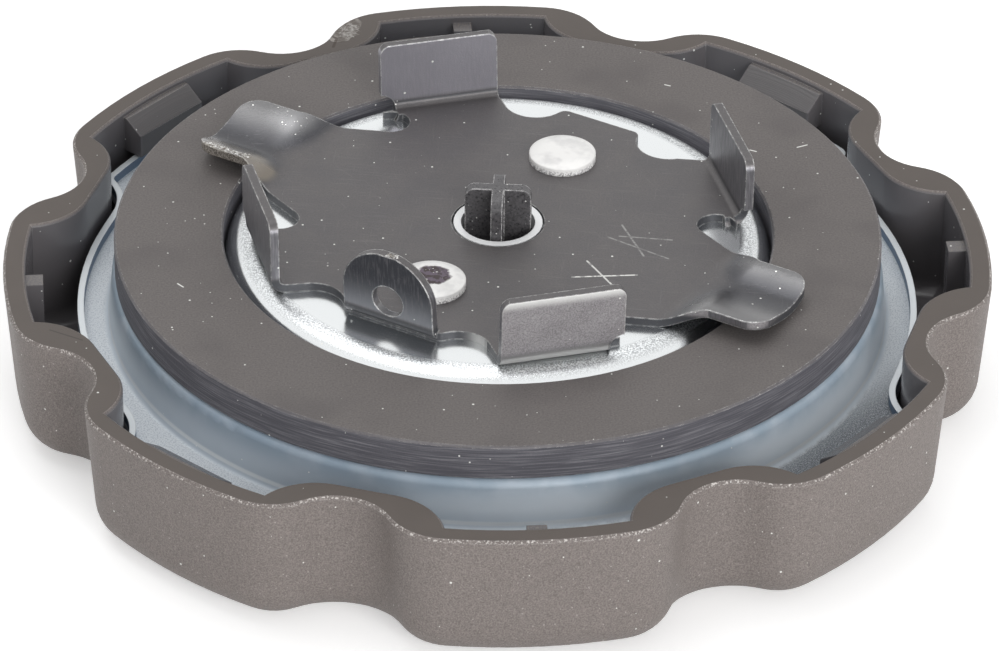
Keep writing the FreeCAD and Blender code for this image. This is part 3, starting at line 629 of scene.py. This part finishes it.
# %% Seal rubber
RUBBER_DARK, RUBBER_LIGHT, RUBBER_CLOUD = colour(94, 90, 89), colour(117, 112, 110), colour(88, 84, 84)
SIDE_DARK, SIDE_STREAK, RUBBED = colour(88, 87, 93), colour(132, 131, 136), colour(220, 216, 213)
RING_SPACING, RING_DRIFT, ROUND_THE_AXIS = 0.11 * MM, 1.2, (250.0, 250.0, 0.0)
SMALL_MARKS = (((20.65, 10.15), (21.1, 9.9)), ((24.4, 10.3), (25.2, 10.6)), ((-4.0, 24.6), (-3.4, 24.3)),
               ((15.0, 20.4), (15.4, 20.2)), ((-24.8, -6.0), (-24.4, -6.5)))
SMALL_MARK_WIDTH = 0.08
RUBBER_GRAIN, RUBBER_CLOUDS, RUBBER_DUST = (0.15, 2.0, 2.2), (7.0, 2.0, 2.2), (0.75, 0.1, 0.45)
RUBBER_EDGE, RUBBER_BREAKS, TOP_FACES_UP = (0.13, 0.03, 0.2), (0.6, 5.0, 3.0), (0.5, 0.9)


def turned_rings(tree, height, cloud):
    """Rings left by the knife: noise of the height over the spacing, plus a slow drift round the axis."""
    drift = sums(tree, "MULTIPLY", cloud, RING_DRIFT)
    turning = sums(tree, "MULTIPLY_ADD", height, 1 / RING_SPACING, drift)
    turning = add(tree, "CombineXYZ", {"Z": turning}).outputs[0]
    wound = vectors(tree, "ADD", stretched(tree, ROUND_THE_AXIS), turning)
    return add(tree, "TexNoise", {"Vector": wound, "Scale": 1.0, "Detail": 5.0}).outputs[0]


def make_seal_rubber():
    """Matt rubber: clouded top, turned rings on the sides, light edges, dust and small marks."""
    material, tree, shader = new_material("seal_rubber", Specular_IOR_Level=0.4)
    height = radius_and_height(tree)[1]
    upward = spread(tree, facing(tree, UPWARDS), *TOP_FACES_UP)
    fine, cloud = grained(tree, *RUBBER_GRAIN), grained(tree, *RUBBER_CLOUDS)
    rings = turned_rings(tree, height, cloud)
    broken = spread(tree, grained(tree, *RUBBER_BREAKS), 0.35, 0.75, 0.15, 0.9)
    worn = product(tree, worn_and_highlighted_edges(tree, *RUBBER_EDGE), broken)
    marks = product(tree, strokes(tree, SMALL_MARKS, SMALL_MARK_WIDTH), upward)

    top = coats(tree, blend_colours(tree, fine, RUBBER_DARK, RUBBER_LIGHT),
                (spread(tree, cloud, 0.4, 1.0, 0.0, 0.5), RUBBER_CLOUD))
    side = coats(tree, blend_colours(tree, spread(tree, rings, 0.4, 0.76), SIDE_DARK, SIDE_STREAK),
                 (product(tree, fine, 0.3), SIDE_DARK))
    skin = coats(tree, side, (upward, top), (worn, RUBBED),
                 (highest(tree, dust_and_glint_specks(tree, *RUBBER_DUST), marks), DUST_AND_GLINT_WHITE))

    rough = spread(tree, upward, 0, 1, 0.45, 0.6, smooth=False)
    ridges = product(tree, rings, spread(tree, upward, 0, 1, 1, 0))
    normal = rounded_bump(tree, raised(tree, fine, (ridges, 1.2)), 0.4, 0.03, 0.12)
    fill(tree, shader, Base_Color=skin, Roughness=rough, Normal=normal)
    return material


dress("gasket", make_seal_rubber())

# %% [markdown]
# The claw plate is spring steel with a dark plating. It is one bent sheet, so its blades, its legs and
# its cut edges are told apart by height, by facing and by which tab they lie near. The face of the front
# tab is stippled and painted brighter where it faces the front lamp, the round tab has painted shading
# that darkens towards its top, and the legs have painted shading, light on their crests and dark in
# their troughs.

# %% Zones of the claw plate
FRONT_TAB_FACES, ALONG_FRONT_TAB = (0.173, -0.985, 0.0), (0.985, 0.173, 0.0)
ROUND_TAB_FACES = (-0.573, -0.82, 0.0)
ABOVE_BEND, NEAR_ROUND_TAB = (14.8 * MM, 15.4 * MM), (13.0 * MM, 14.0 * MM)
NEAR_FRONT_TAB, NEAR_BACK_TAB = (14.0 * MM, 15.0 * MM), (-14.0 * MM, -15.0 * MM)
TAB_FACING = (0.85, 0.95)
ALONG_BEND, SHEET_EDGE_UP = (3.7 * MM, 3.5 * MM), (15.2 * MM, 14.8 * MM)
LEG_FROM, LEG_TO = (PLATE_FACE + 0.05 * MM, PLATE_FACE + 0.4 * MM), (16.6 * MM, 16.2 * MM)


def plate_zones(tree, height, upward):
    """Masks of the plate by name: blades, front, back and round tab, front tab's foot, cut sides, legs."""
    to_front, faces_front = dot_place(tree, FRONT_TAB_FACES), facing(tree, FRONT_TAB_FACES)
    blade = product(tree, spread(tree, height, *ABOVE_BEND), spread(tree, upward, 0.6, 0.3))
    near_front = spread(tree, to_front, *NEAR_FRONT_TAB)
    front = product(tree, blade, near_front, spread(tree, faces_front, *TAB_FACING))
    back = product(tree, blade, spread(tree, to_front, *NEAR_BACK_TAB), 0.8)
    near_round = spread(tree, dot_place(tree, ROUND_TAB_FACES), *NEAR_ROUND_TAB)
    loop = product(tree, blade, near_round, spread(tree, facing(tree, ROUND_TAB_FACES), *TAB_FACING))
    foot = product(tree, spread(tree, faces_front, 0.2, 0.4), near_front,
                   spread(tree, dot_place(tree, ALONG_FRONT_TAB), *ALONG_BEND))
    side = product(tree, spread(tree, upward, 0.5, 0.2), spread(tree, height, *SHEET_EDGE_UP))
    side = sums(tree, "SUBTRACT", side, product(tree, side, foot))
    leg = product(tree, spread(tree, height, *LEG_FROM), spread(tree, upward, 0.5, 0.7),
                  spread(tree, height, *LEG_TO))
    return dict(blade=blade, front=front, back=back, loop=loop, foot=foot, side=side, leg=leg)


print("the legs' waves lie between", LEG_FROM[0], "and", LEG_TO[0], "m")

# %% [markdown]
# The plate's face is scratched both ways and shows two sets of crossed scribe marks. Every cut edge
# shines where the plating is broken, and the edges that stand up carry painted highlights as well; the
# front tab has painted highlights along its top and its bend. The corner of the back leg that rubs in
# the filler neck is worn to brown, crumbling metal.

# %% Marks, wear and painted highlights of the claw plate
SCRATCHES, SCRATCH_WIDTH = ((12.0, 0.45), (100.0, 0.35), (62.0, 0.3)), 0.09 * MM
SCRIBES = (((4.96, -8.17), (9.89, -8.22), 1.0), ((6.3, -6.02), (7.81, -9.33), 0.8),
           ((9.1, -2.71), (13.05, -3.52), 0.28), ((9.45, -1.15), (10.66, -5.6), 0.3),
           ((8.21, -2.77), (12.5, -6.12), 0.25))
SCRIBE_WIDTH, ON_PLATE = 0.1, (15.0 * MM, 14.8 * MM)
LIFTED, TAB_CREST = (PLATE_FACE + 0.05 * MM, 15.2 * MM), (19.0 * MM, 19.8 * MM)
BEND_UP = (15.3 * MM, 14.2 * MM)
WORN_LEG_EDGE, WORN_WIDTH = ((-22.3, 11.4), (-18.0, 7.9)), 2.0
WORN_UP = (PLATE_FACE, PLATE_FACE + 0.4 * MM)
SCUFFED_LEG_AT, SCUFF_SIZE = (-15.2, 14.6, 15.3), 1.6
PLATE_EDGE, EDGE_BREAKS, SCRIBE_BREAKS = (0.18, 0.015, 0.1), (0.45, 4.0, 3.4), (0.3, 3.0, 3.0)


def scratched(tree):
    """Mask of the fine scratches, in three directions."""
    lines = [use(tree, scratches, Turn=turn, Width=SCRATCH_WIDTH, Amount=share) for turn, share in SCRATCHES]
    return highest(tree, *lines)


def scribed(tree, height):
    """Mask of the scribe marks, each as deep as its last number says, and patchy along its length."""
    marks = [product(tree, stroke(tree, start, end, SCRIBE_WIDTH), depth) for start, end, depth in SCRIBES]
    patchy = spread(tree, grained(tree, *SCRIBE_BREAKS), 0.2, 0.6, 0.35, 1.0)
    return product(tree, highest(tree, *marks), spread(tree, height, *ON_PLATE), patchy)


def plate_wear_and_highlights(tree, height, front, foot):
    """Mask of worn edges with painted highlights, stronger on what stands up, and painted highlights on the
    front tab's top and bend.
    """
    broken = spread(tree, grained(tree, *EDGE_BREAKS), 0.3, 0.8)
    lift = spread(tree, height, *LIFTED, 0.6, 1.0)
    share = product(tree, lift, sums(tree, "MULTIPLY_ADD", broken, 0.65, 0.3))
    worn = product(tree, worn_and_highlighted_edges(tree, *PLATE_EDGE), share)
    # The front tab's top and its bend carry painted highlights.
    crest = product(tree, front, spread(tree, height, *TAB_CREST, 0.0, 0.9))
    bend = product(tree, foot, spread(tree, height, *BEND_UP, 0.0, 0.5))
    return highest(tree, worn, highest(tree, crest, bend))


print("scribe marks", [round(math.dist(start, end), 1) for start, end, depth in SCRIBES], "mm long")

# %% Colours of the blades and the legs
PLATE_DARK, PLATE_LIGHT, PLATE_COOL = colour(88, 86, 86), colour(106, 102, 102), colour(84, 84, 88)
BLADE_DARK, BLADE_LIGHT, CUT_DARK = colour(112, 112, 116), colour(144, 142, 146), colour(66, 67, 71)
LOOP_SHADED_TOP, LOOP_LIT_FOOT, BACK_BLUE = colour(82, 84, 90), colour(132, 134, 139), colour(142, 140, 147)
FRONT_LIT_DARK, FRONT_LIT_LIGHT, SCRATCH_PALE = colour(120, 116, 119), colour(172, 169, 171), colour(150, 147, 149)
LEG_TROUGH_SHADE, LEG_CREST_LIGHT, LEG_SHEEN = colour(78, 79, 83), colour(130, 130, 131), colour(178, 178, 180)
LOOP_RISE, WAVE_RISE, SHEEN_REACH = (18.6 * MM, 15.2 * MM), (14.9 * MM, 15.6 * MM), (0.3 * MM, 2.4 * MM)
STIPPLE, STIPPLE_SHARE, CLOUD_SHARE = (0.11, 2.0, 3.0), 0.7, 0.4


def blade_coats(tree, height, streak, cloud, zones):
    """Coats of the blades, the back tab, the front tab's face in painted light, the round tab in painted
    shading, the cut sides.
    """
    stipple = product(tree, grained(tree, *STIPPLE), STIPPLE_SHARE)
    stipple = sums(tree, "MULTIPLY_ADD", cloud, CLOUD_SHARE, stipple)
    # The round tab is painted shading: dark at its top and light at its foot.
    loop_shading = coats(tree, blend_colours(tree, spread(tree, height, *LOOP_RISE), LOOP_SHADED_TOP, LOOP_LIT_FOOT),
                      (spread(tree, streak, 0.45, 0.8, 0.0, 0.5), BLADE_LIGHT))
    # The front tab's brighter face is painted light.
    return ((zones["blade"], blend_colours(tree, spread(tree, streak, 0.3, 0.75), BLADE_DARK, BLADE_LIGHT)),
            (zones["back"], BACK_BLUE),
            (zones["front"], blend_colours(tree, stipple, FRONT_LIT_DARK, FRONT_LIT_LIGHT)),
            (zones["loop"], loop_shading),
            (zones["side"], CUT_DARK))


def leg_shading_coats(tree, height, leg):
    """Coats of the legs: painted shading, dark in the trough and light on the crest, and a painted sheen
    where the back leg is scuffed.
    """
    # The legs' crests and troughs are painted shading, and the sheen is painted.
    wave = blend_colours(tree, spread(tree, height, *WAVE_RISE), LEG_TROUGH_SHADE, LEG_CREST_LIGHT)
    sheen = spread(tree, distance_to(tree, SCUFFED_LEG_AT), *SHEEN_REACH, 0.35, 0.0)
    return (product(tree, leg, 0.8), wave), (product(tree, sheen, leg), LEG_SHEEN)


print("a leg is dark up to", WAVE_RISE[0], "m and light over", WAVE_RISE[1], "m")

# %% Spring steel
CUT_BRIGHT_AND_HIGHLIGHT, WORN_BROWN = colour(238, 238, 236), colour(146, 137, 124)
CRUMB_DARK, CRUMB_PALE = colour(78, 72, 66), colour(190, 184, 176)
STREAK_FLATTENED, STREAK_SIZE = (1.0, 1.0, 0.1), 0.14 * MM
PLATE_GRAIN, PLATE_CLOUD, CRUMBS = (0.11, 2.0, 2.0), (3.0, 3.0, 1.8), (0.11, 1.0, 2.6)
PLATE_DUST, SCUFFS, SCUFF_ROUGH = (0.75, 0.1, 0.4), (0.24, 0.09, 0.45), 0.6


def make_spring_steel():
    """Dark plated spring steel with its blades, legs, scratches, scribe marks, worn edges and dust."""
    material, tree, shader = new_material("spring_steel")
    height = radius_and_height(tree)[1]
    upward = facing(tree, UPWARDS)
    zones = plate_zones(tree, height, upward)
    front, side, leg = zones["front"], zones["side"], zones["leg"]
    fine, cloud = grained(tree, *PLATE_GRAIN), grained(tree, *PLATE_CLOUD)
    streak = {"Vector": stretched(tree, STREAK_FLATTENED), "Scale": 1 / STREAK_SIZE, "Detail": 4.0}
    streak = add(tree, "TexNoise", streak).outputs[0]
    lines, marks = scratched(tree), scribed(tree, height)
    rubbed = product(tree, stroke(tree, *WORN_LEG_EDGE, WORN_WIDTH), spread(tree, height, *WORN_UP))
    cut = product(tree, rubbed, spread(tree, upward, 0.7, 0.4))
    crumbs = grained(tree, *CRUMBS)
    scuffs = product(tree, dust_and_glint_specks(tree, *SCUFFS), spot(tree, SCUFFED_LEG_AT, SCUFF_SIZE, SCUFF_ROUGH))
    dust = dust_and_glint_specks(tree, *PLATE_DUST)

    skin = coats(tree, blend_colours(tree, fine, PLATE_DARK, PLATE_LIGHT),
                 (product(tree, cloud, 0.4), PLATE_COOL),
                 *blade_coats(tree, height, streak, cloud, zones),
                 *leg_shading_coats(tree, height, leg),
                 (product(tree, lines, 0.18), SCRATCH_PALE),
                 (plate_wear_and_highlights(tree, height, front, zones["foot"]), CUT_BRIGHT_AND_HIGHLIGHT),
                 (product(tree, rubbed, spread(tree, cloud, 0.25, 0.75, 0.1, 0.6)), WORN_BROWN),
                 (cut, blend_colours(tree, crumbs, CRUMB_DARK, CRUMB_PALE)),
                 (highest(tree, dust, scuffs, product(tree, marks, 0.9)), DUST_AND_GLINT_WHITE))

    metal = spread(tree, highest(tree, zones["blade"], leg), 0, 1, 0.4, 0.8)
    metal = raised(tree, metal, (side, -0.2), (front, -0.5))
    rough = raised(tree, sums(tree, "MULTIPLY_ADD", leg, -0.16, 0.38), (cloud, 0.08))
    relief = raised(tree, fine, (streak, 0.5), (lines, -0.5), (marks, -1.5),
                    (product(tree, cut, crumbs), 2.0))
    normal = rounded_bump(tree, relief, 0.3, 0.02, 0.15)
    fill(tree, shader, Base_Color=skin, Metallic=metal, Roughness=rough, Normal=normal)
    return material


dress("claw_plate", make_spring_steel())

# %% [markdown]
# The rivet heads are bright and nearly white, a little bruised by the tool that set them. The front one
# keeps a purple-brown heat stain with a grain of salt in it, so it has a finish of its own, made by the
# same function. Bare metal would mirror the dark tabs, and these heads look chalky, so they aren't
# metallic: their near-white is a painted reflection, and the darker foot of each head is painted shade.

# %% Rivets
RIVET_WHITE_REFLECTION, RIVET_GREY_REFLECTION, RIVET_FOOT_SHADE = colour(255, 254, 252), colour(232, 231, 230), colour(160, 159, 160)
STAIN_RING, STAIN_CORE = colour(92, 80, 94), colour(48, 32, 34)
STAIN_AT, STAIN_SIZE = (-5.62, -8.5, 15.35), 1.45
HEAD_FOOT = (15.05 * MM, PLATE_FACE + 0.1 * MM)
BRUISES, RIVET_GRAIN, CHAR, SALT = (1.6, 3.0, 2.0), (0.16, 3.0, 3.0), (0.5, 4.0, 3.0), (0.28, 0.1, 0.6)


def stain_coats(tree):
    """Coats of the heat stain: burnt metal in a ragged spot, and white salt in it."""
    stain = spot(tree, STAIN_AT, STAIN_SIZE, 0.3)
    char = spread(tree, grained(tree, *CHAR), 0.3, 0.7)
    salt = product(tree, dust_and_glint_specks(tree, *SALT), stain)
    return (stain, blend_colours(tree, char, STAIN_RING, STAIN_CORE)), (product(tree, salt, 0.7), DUST_AND_GLINT_WHITE)


def make_rivet_metal(name, stained):
    """Bruised rivet metal, near-white as a painted reflection, with painted shade at the foot of the head,
    and stained if asked.
    """
    material, tree, shader = new_material(name)
    height = radius_and_height(tree)[1]
    bruise, fine = grained(tree, *BRUISES), grained(tree, *RIVET_GRAIN)
    foot = product(tree, spread(tree, height, *HEAD_FOOT), spread(tree, fine, 0.3, 0.8))
    # The near-white is a painted reflection, and the foot of the head is painted shade.
    skin = coats(tree, blend_colours(tree, spread(tree, bruise, 0.35, 0.9), RIVET_WHITE_REFLECTION, RIVET_GREY_REFLECTION),
                 (foot, RIVET_FOOT_SHADE), *(stain_coats(tree) if stained else ()))
    rough = spread(tree, bruise, 0, 1, 0.32, 0.46)
    normal = rounded_bump(tree, raised(tree, bruise, (fine, 0.15)), 0.4, 0.06, 0.2)
    fill(tree, shader, Base_Color=skin, Roughness=rough, Normal=normal)
    return material


dress("rivet_back", make_rivet_metal("rivet_metal", False))
dress("rivet_front", make_rivet_metal("rivet_metal_stained", True))

# %% [markdown]
# The pin is dark moulded plastic whose edges carry broken painted highlights, and whose dust specks also
# stand for painted glints. It is the only piece that moves, and because its finish reads the point on the
# pin, its grain and dust slide with it.

# %% Pin plastic
PIN_DARK, PIN_LIGHT, PIN_EDGE_HIGHLIGHT = colour(66, 65, 67), colour(100, 98, 100), colour(236, 234, 234)
PIN_GRAIN, PIN_BREAKS = (0.2, 4.0, 2.4), (0.4, 3.0, 3.0)
PIN_EDGE, PIN_DUST_AND_GLINTS = (0.18, 0.02, 0.12), (0.34, 0.07, 0.5)


def make_pin_plastic():
    """Dark moulded plastic with broken painted highlights along its edges, and fine dust specks that are also
    painted glints.
    """
    material, tree, shader = new_material("pin_plastic")
    fine = grained(tree, *PIN_GRAIN)
    broken = spread(tree, grained(tree, *PIN_BREAKS), 0.2, 0.7, 0.35, 1.0)
    # The pale edges are painted highlights, and the specks are dust and painted glints.
    edges = product(tree, worn_and_highlighted_edges(tree, *PIN_EDGE), broken)
    skin = coats(tree, blend_colours(tree, fine, PIN_DARK, PIN_LIGHT), (edges, PIN_EDGE_HIGHLIGHT),
                 (dust_and_glint_specks(tree, *PIN_DUST_AND_GLINTS), DUST_AND_GLINT_WHITE))
    rough = spread(tree, fine, 0, 1, 0.25, 0.45)
    fill(tree, shader, Base_Color=skin, Roughness=rough, Normal=rounded_bump(tree, fine, 0.5, 0.03, 0.12))
    return material


dress("vent_pin", make_pin_plastic())

# %% [markdown]
# Where the plastic or the metal is torn, small flakes stand up from the surface. They could be bumps in
# the finish, but a torn edge catches the light and breaks the outline, so they are real: each flake is
# a low pyramid on three corners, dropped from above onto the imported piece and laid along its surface.

# %% Torn flakes
PYRAMID = np.array(((0, 1, 3), (1, 2, 3), (2, 0, 3), (0, 2, 1)))
DROP_FROM, FOOT_UNDER = 0.1, 0.01 * MM
SLANTED = (0.3, 0.5, 0.81)
ASIDE_SPREAD, LEAST_REACH, LEAST_RISE = 0.4, 0.4, 0.3


def scatter_flakes(name, node, line, width, count, size, rise, seed):
    """Flakes along a line seen from above, as one mesh that rides with the cap.

    A flake's middle is start + share * (end - start) + aside * width, dropped onto the node. Its three feet
    stand round that at thirds of a turn, each at its own part of size, along the surface and a hair under
    it. Its tip is a part of rise above the middle. Three sides and a bottom make a closed pyramid.
    """
    dice = np.random.default_rng(seed)
    share = dice.uniform(0, 1, count)
    aside = dice.normal(0, ASIDE_SPREAD, count)
    turn = dice.uniform(0, math.tau, count)
    reach = dice.uniform(LEAST_REACH, 1.0, (count, 3)) * size * MM
    height = dice.uniform(LEAST_RISE, 1.0, count) * rise * MM
    start, end = np.array(line) * MM
    sideways = np.array((start[1] - end[1], end[0] - start[0])) / np.linalg.norm(end - start)
    above = start + share[:, None] * (end - start) + (aside * width * MM)[:, None] * sideways
    hits = [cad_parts[node].ray_cast((x, y, DROP_FROM), (0, 0, -1)) for x, y in above]
    found = np.array([hit[0] for hit in hits])
    middle = np.array([hit[1] for hit in hits])[found, None]
    normal = np.array([hit[2] for hit in hits])[found, None]
    along = np.cross(normal, SLANTED)
    along /= np.linalg.norm(along, axis=2, keepdims=True)
    angle = (turn[found, None] + np.arange(3) * math.tau / 3)[..., None]
    way = along * np.cos(angle) + np.cross(normal, along) * np.sin(angle)
    feet = middle + way * reach[found, :, None] - normal * FOOT_UNDER
    points = np.concatenate((feet, middle + normal * height[found, None, None]), axis=1)
    faces = PYRAMID + 4 * np.arange(len(points))[:, None, None]
    mesh = bpy.data.meshes.new(name)
    mesh.from_pydata(points.reshape(-1, 3).tolist(), [], faces.reshape(-1, 3).tolist())
    made = bpy.data.objects.new(name, mesh)
    bpy.context.scene.collection.objects.link(made)
    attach(made, "cap")
    print(name, len(mesh.polygons), "faces")
    return made


# %% Torn plastic and torn steel
TORN_PLASTIC_DARK, TORN_PLASTIC_PALE = colour(92, 84, 78), colour(186, 182, 178)
TORN_STEEL_DARK, TORN_STEEL_PALE = colour(112, 104, 96), colour(240, 240, 238)
TORN_GRAIN, TORN_ROUGHNESS = (0.3, 3.0, 3.0), 0.45


def make_torn(name, dark, pale, metallic):
    """Finish of torn material: dark and pale by turns, and matt."""
    material, tree, shader = new_material(name, Metallic=metallic, Roughness=TORN_ROUGHNESS)
    fill(tree, shader, Base_Color=blend_colours(tree, grained(tree, *TORN_GRAIN), dark, pale))
    return material


# Name of the piece: node, line in mm, spread to the sides in mm, count, size and rise in mm, slot.
TORN = {
    "rim_chip": ("grip_cover", ((-8.9, 35.3), (-9.8, 33.6)), 0.9, 50, 0.4, 0.07, "cover_plastic"),
    "leg_burr": ("claw_plate", ((-22.2, 10.9), (-18.6, 8.5)), 0.35, 200, 0.15, 0.09, "spring_steel"),
    "tab_nick": ("claw_plate", ((-9.4, -13.3), (-8.6, -13.9)), 0.3, 24, 0.2, 0.1, "spring_steel"),
}
torn_finish = {"cover_plastic": make_torn("torn_plastic", TORN_PLASTIC_DARK, TORN_PLASTIC_PALE, 0.0),
               "spring_steel": make_torn("torn_steel", TORN_STEEL_DARK, TORN_STEEL_PALE, 0.5)}
for seed, (name, (*measures, slot)) in enumerate(TORN.items()):
    flakes = scatter_flakes(name, *measures, seed)
    flakes.data.materials.append(torn_finish[slot])

# %% [markdown]
# A plain pale floor and a white surround stand for the studio. A strong white light would burn out the
# pale rivets and the zinc, so floor and surround are white only for rays that show them, straight or in
# a reflection, and light the cap at a plain level. The floor keeps the cap's shadow.

# %% Floor and surround
FLOOR_REACH, FLOOR_WHITE, FLOOR_GLOW, SURROUND_LIGHT = 3.0, (0.93, 0.93, 0.93, 1), 0.4, 0.5
WHITE = (1, 1, 1, 1)


def where_seen(tree):
    """1 for rays that show a surface to the camera, straight or in a reflection, and 0 for light."""
    path = add(tree, "LightPath")
    return highest(tree, *[path.outputs[f"Is {ray} Ray"] for ray in ("Camera", "Glossy", "Transmission")])


def make_floor():
    """A flat square of paper under the cap, which glows a little where it is seen."""
    mesh = bpy.data.meshes.new("floor")
    corners = [(x * FLOOR_REACH, y * FLOOR_REACH, 0.0) for x, y in ((-1, -1), (1, -1), (1, 1), (-1, 1))]
    mesh.from_pydata(corners, [], [(0, 1, 2, 3)])
    finish, tree, shader = new_material("floor_paper", Roughness=0.9, Base_Color=FLOOR_WHITE,
                                        Emission_Color=WHITE)
    fill(tree, shader, Emission_Strength=product(tree, where_seen(tree), FLOOR_GLOW))
    mesh.materials.append(finish)
    made = bpy.data.objects.new("floor", mesh)
    bpy.context.scene.collection.objects.link(made)
    return made


def make_world(light):
    """White wherever it is seen or mirrored, and dimmer where it lights a matt surface."""
    world = bpy.data.worlds.new("studio")
    world.use_nodes = True
    tree = world.node_tree
    back = tree.nodes["Background"]
    back.inputs["Color"].default_value = WHITE
    fill(tree, back, Strength=spread(tree, where_seen(tree), 0.0, 1.0, light, 1.0, smooth=False))
    return world


floor = make_floor()
bpy.context.scene.world = make_world(SURROUND_LIGHT)
print("floor", 2 * FLOOR_REACH, "m wide, world", bpy.context.scene.world.name)


# %% [markdown]
# Two soft boxes light the cap: one low in front, for the faces that look forward, and one above and
# behind, which draws the bright line along the edges of the tabs.

# %% Lamps
def softbox(name, at, size, power):
    """A square area lamp that looks at the cap."""
    lamp = bpy.data.lights.new(name, "AREA")
    lamp.shape, lamp.size, lamp.energy = "SQUARE", size, power
    made = bpy.data.objects.new(name, lamp)
    made.location = at
    made.rotation_euler = (-Vector(at)).to_track_quat("-Z", "Y").to_euler()
    bpy.context.scene.collection.objects.link(made)
    print("lamp", name, "with", power, "W at", at)


softbox("front", (0.30, -0.84, 0.30), 0.5, 5.0)
softbox("top", (-0.15, 0.25, 0.9), 0.7, 2.6)

# %% [markdown]
# The camera stands nearly half a metre away with a long lens, a little left of straight on, and looks
# down at about 33 degrees. A long lens keeps the far lobes nearly as large as the near ones, as in a
# product view. Its three directions make up the turn that a camera object needs.

# %% Camera
EYE = Vector((-34.19, -394.72, 267.18)) * MM
LENS, SENSOR_WIDTH, CLIP_START = 220.73, 36.0, 0.05
RIGHT, UP, AHEAD = (Vector(v) for v in ((0.996679, -0.080942, 0.008862), (0.037314, 0.550764, 0.833826),
                                        (0.072373, 0.830727, -0.551956)))
lens = bpy.data.cameras.new("camera")
lens.lens, lens.sensor_width, lens.clip_start = LENS, SENSOR_WIDTH, CLIP_START
camera = bpy.data.objects.new("camera", lens)
camera.matrix_world = Matrix((RIGHT, UP, -AHEAD)).transposed().to_4x4()
camera.location = EYE
bpy.context.scene.collection.objects.link(camera)
bpy.context.scene.camera = camera
bpy.context.scene.view_settings.view_transform = "Standard"
print("camera", round(EYE.length, 3), "m from the middle, lens", LENS)
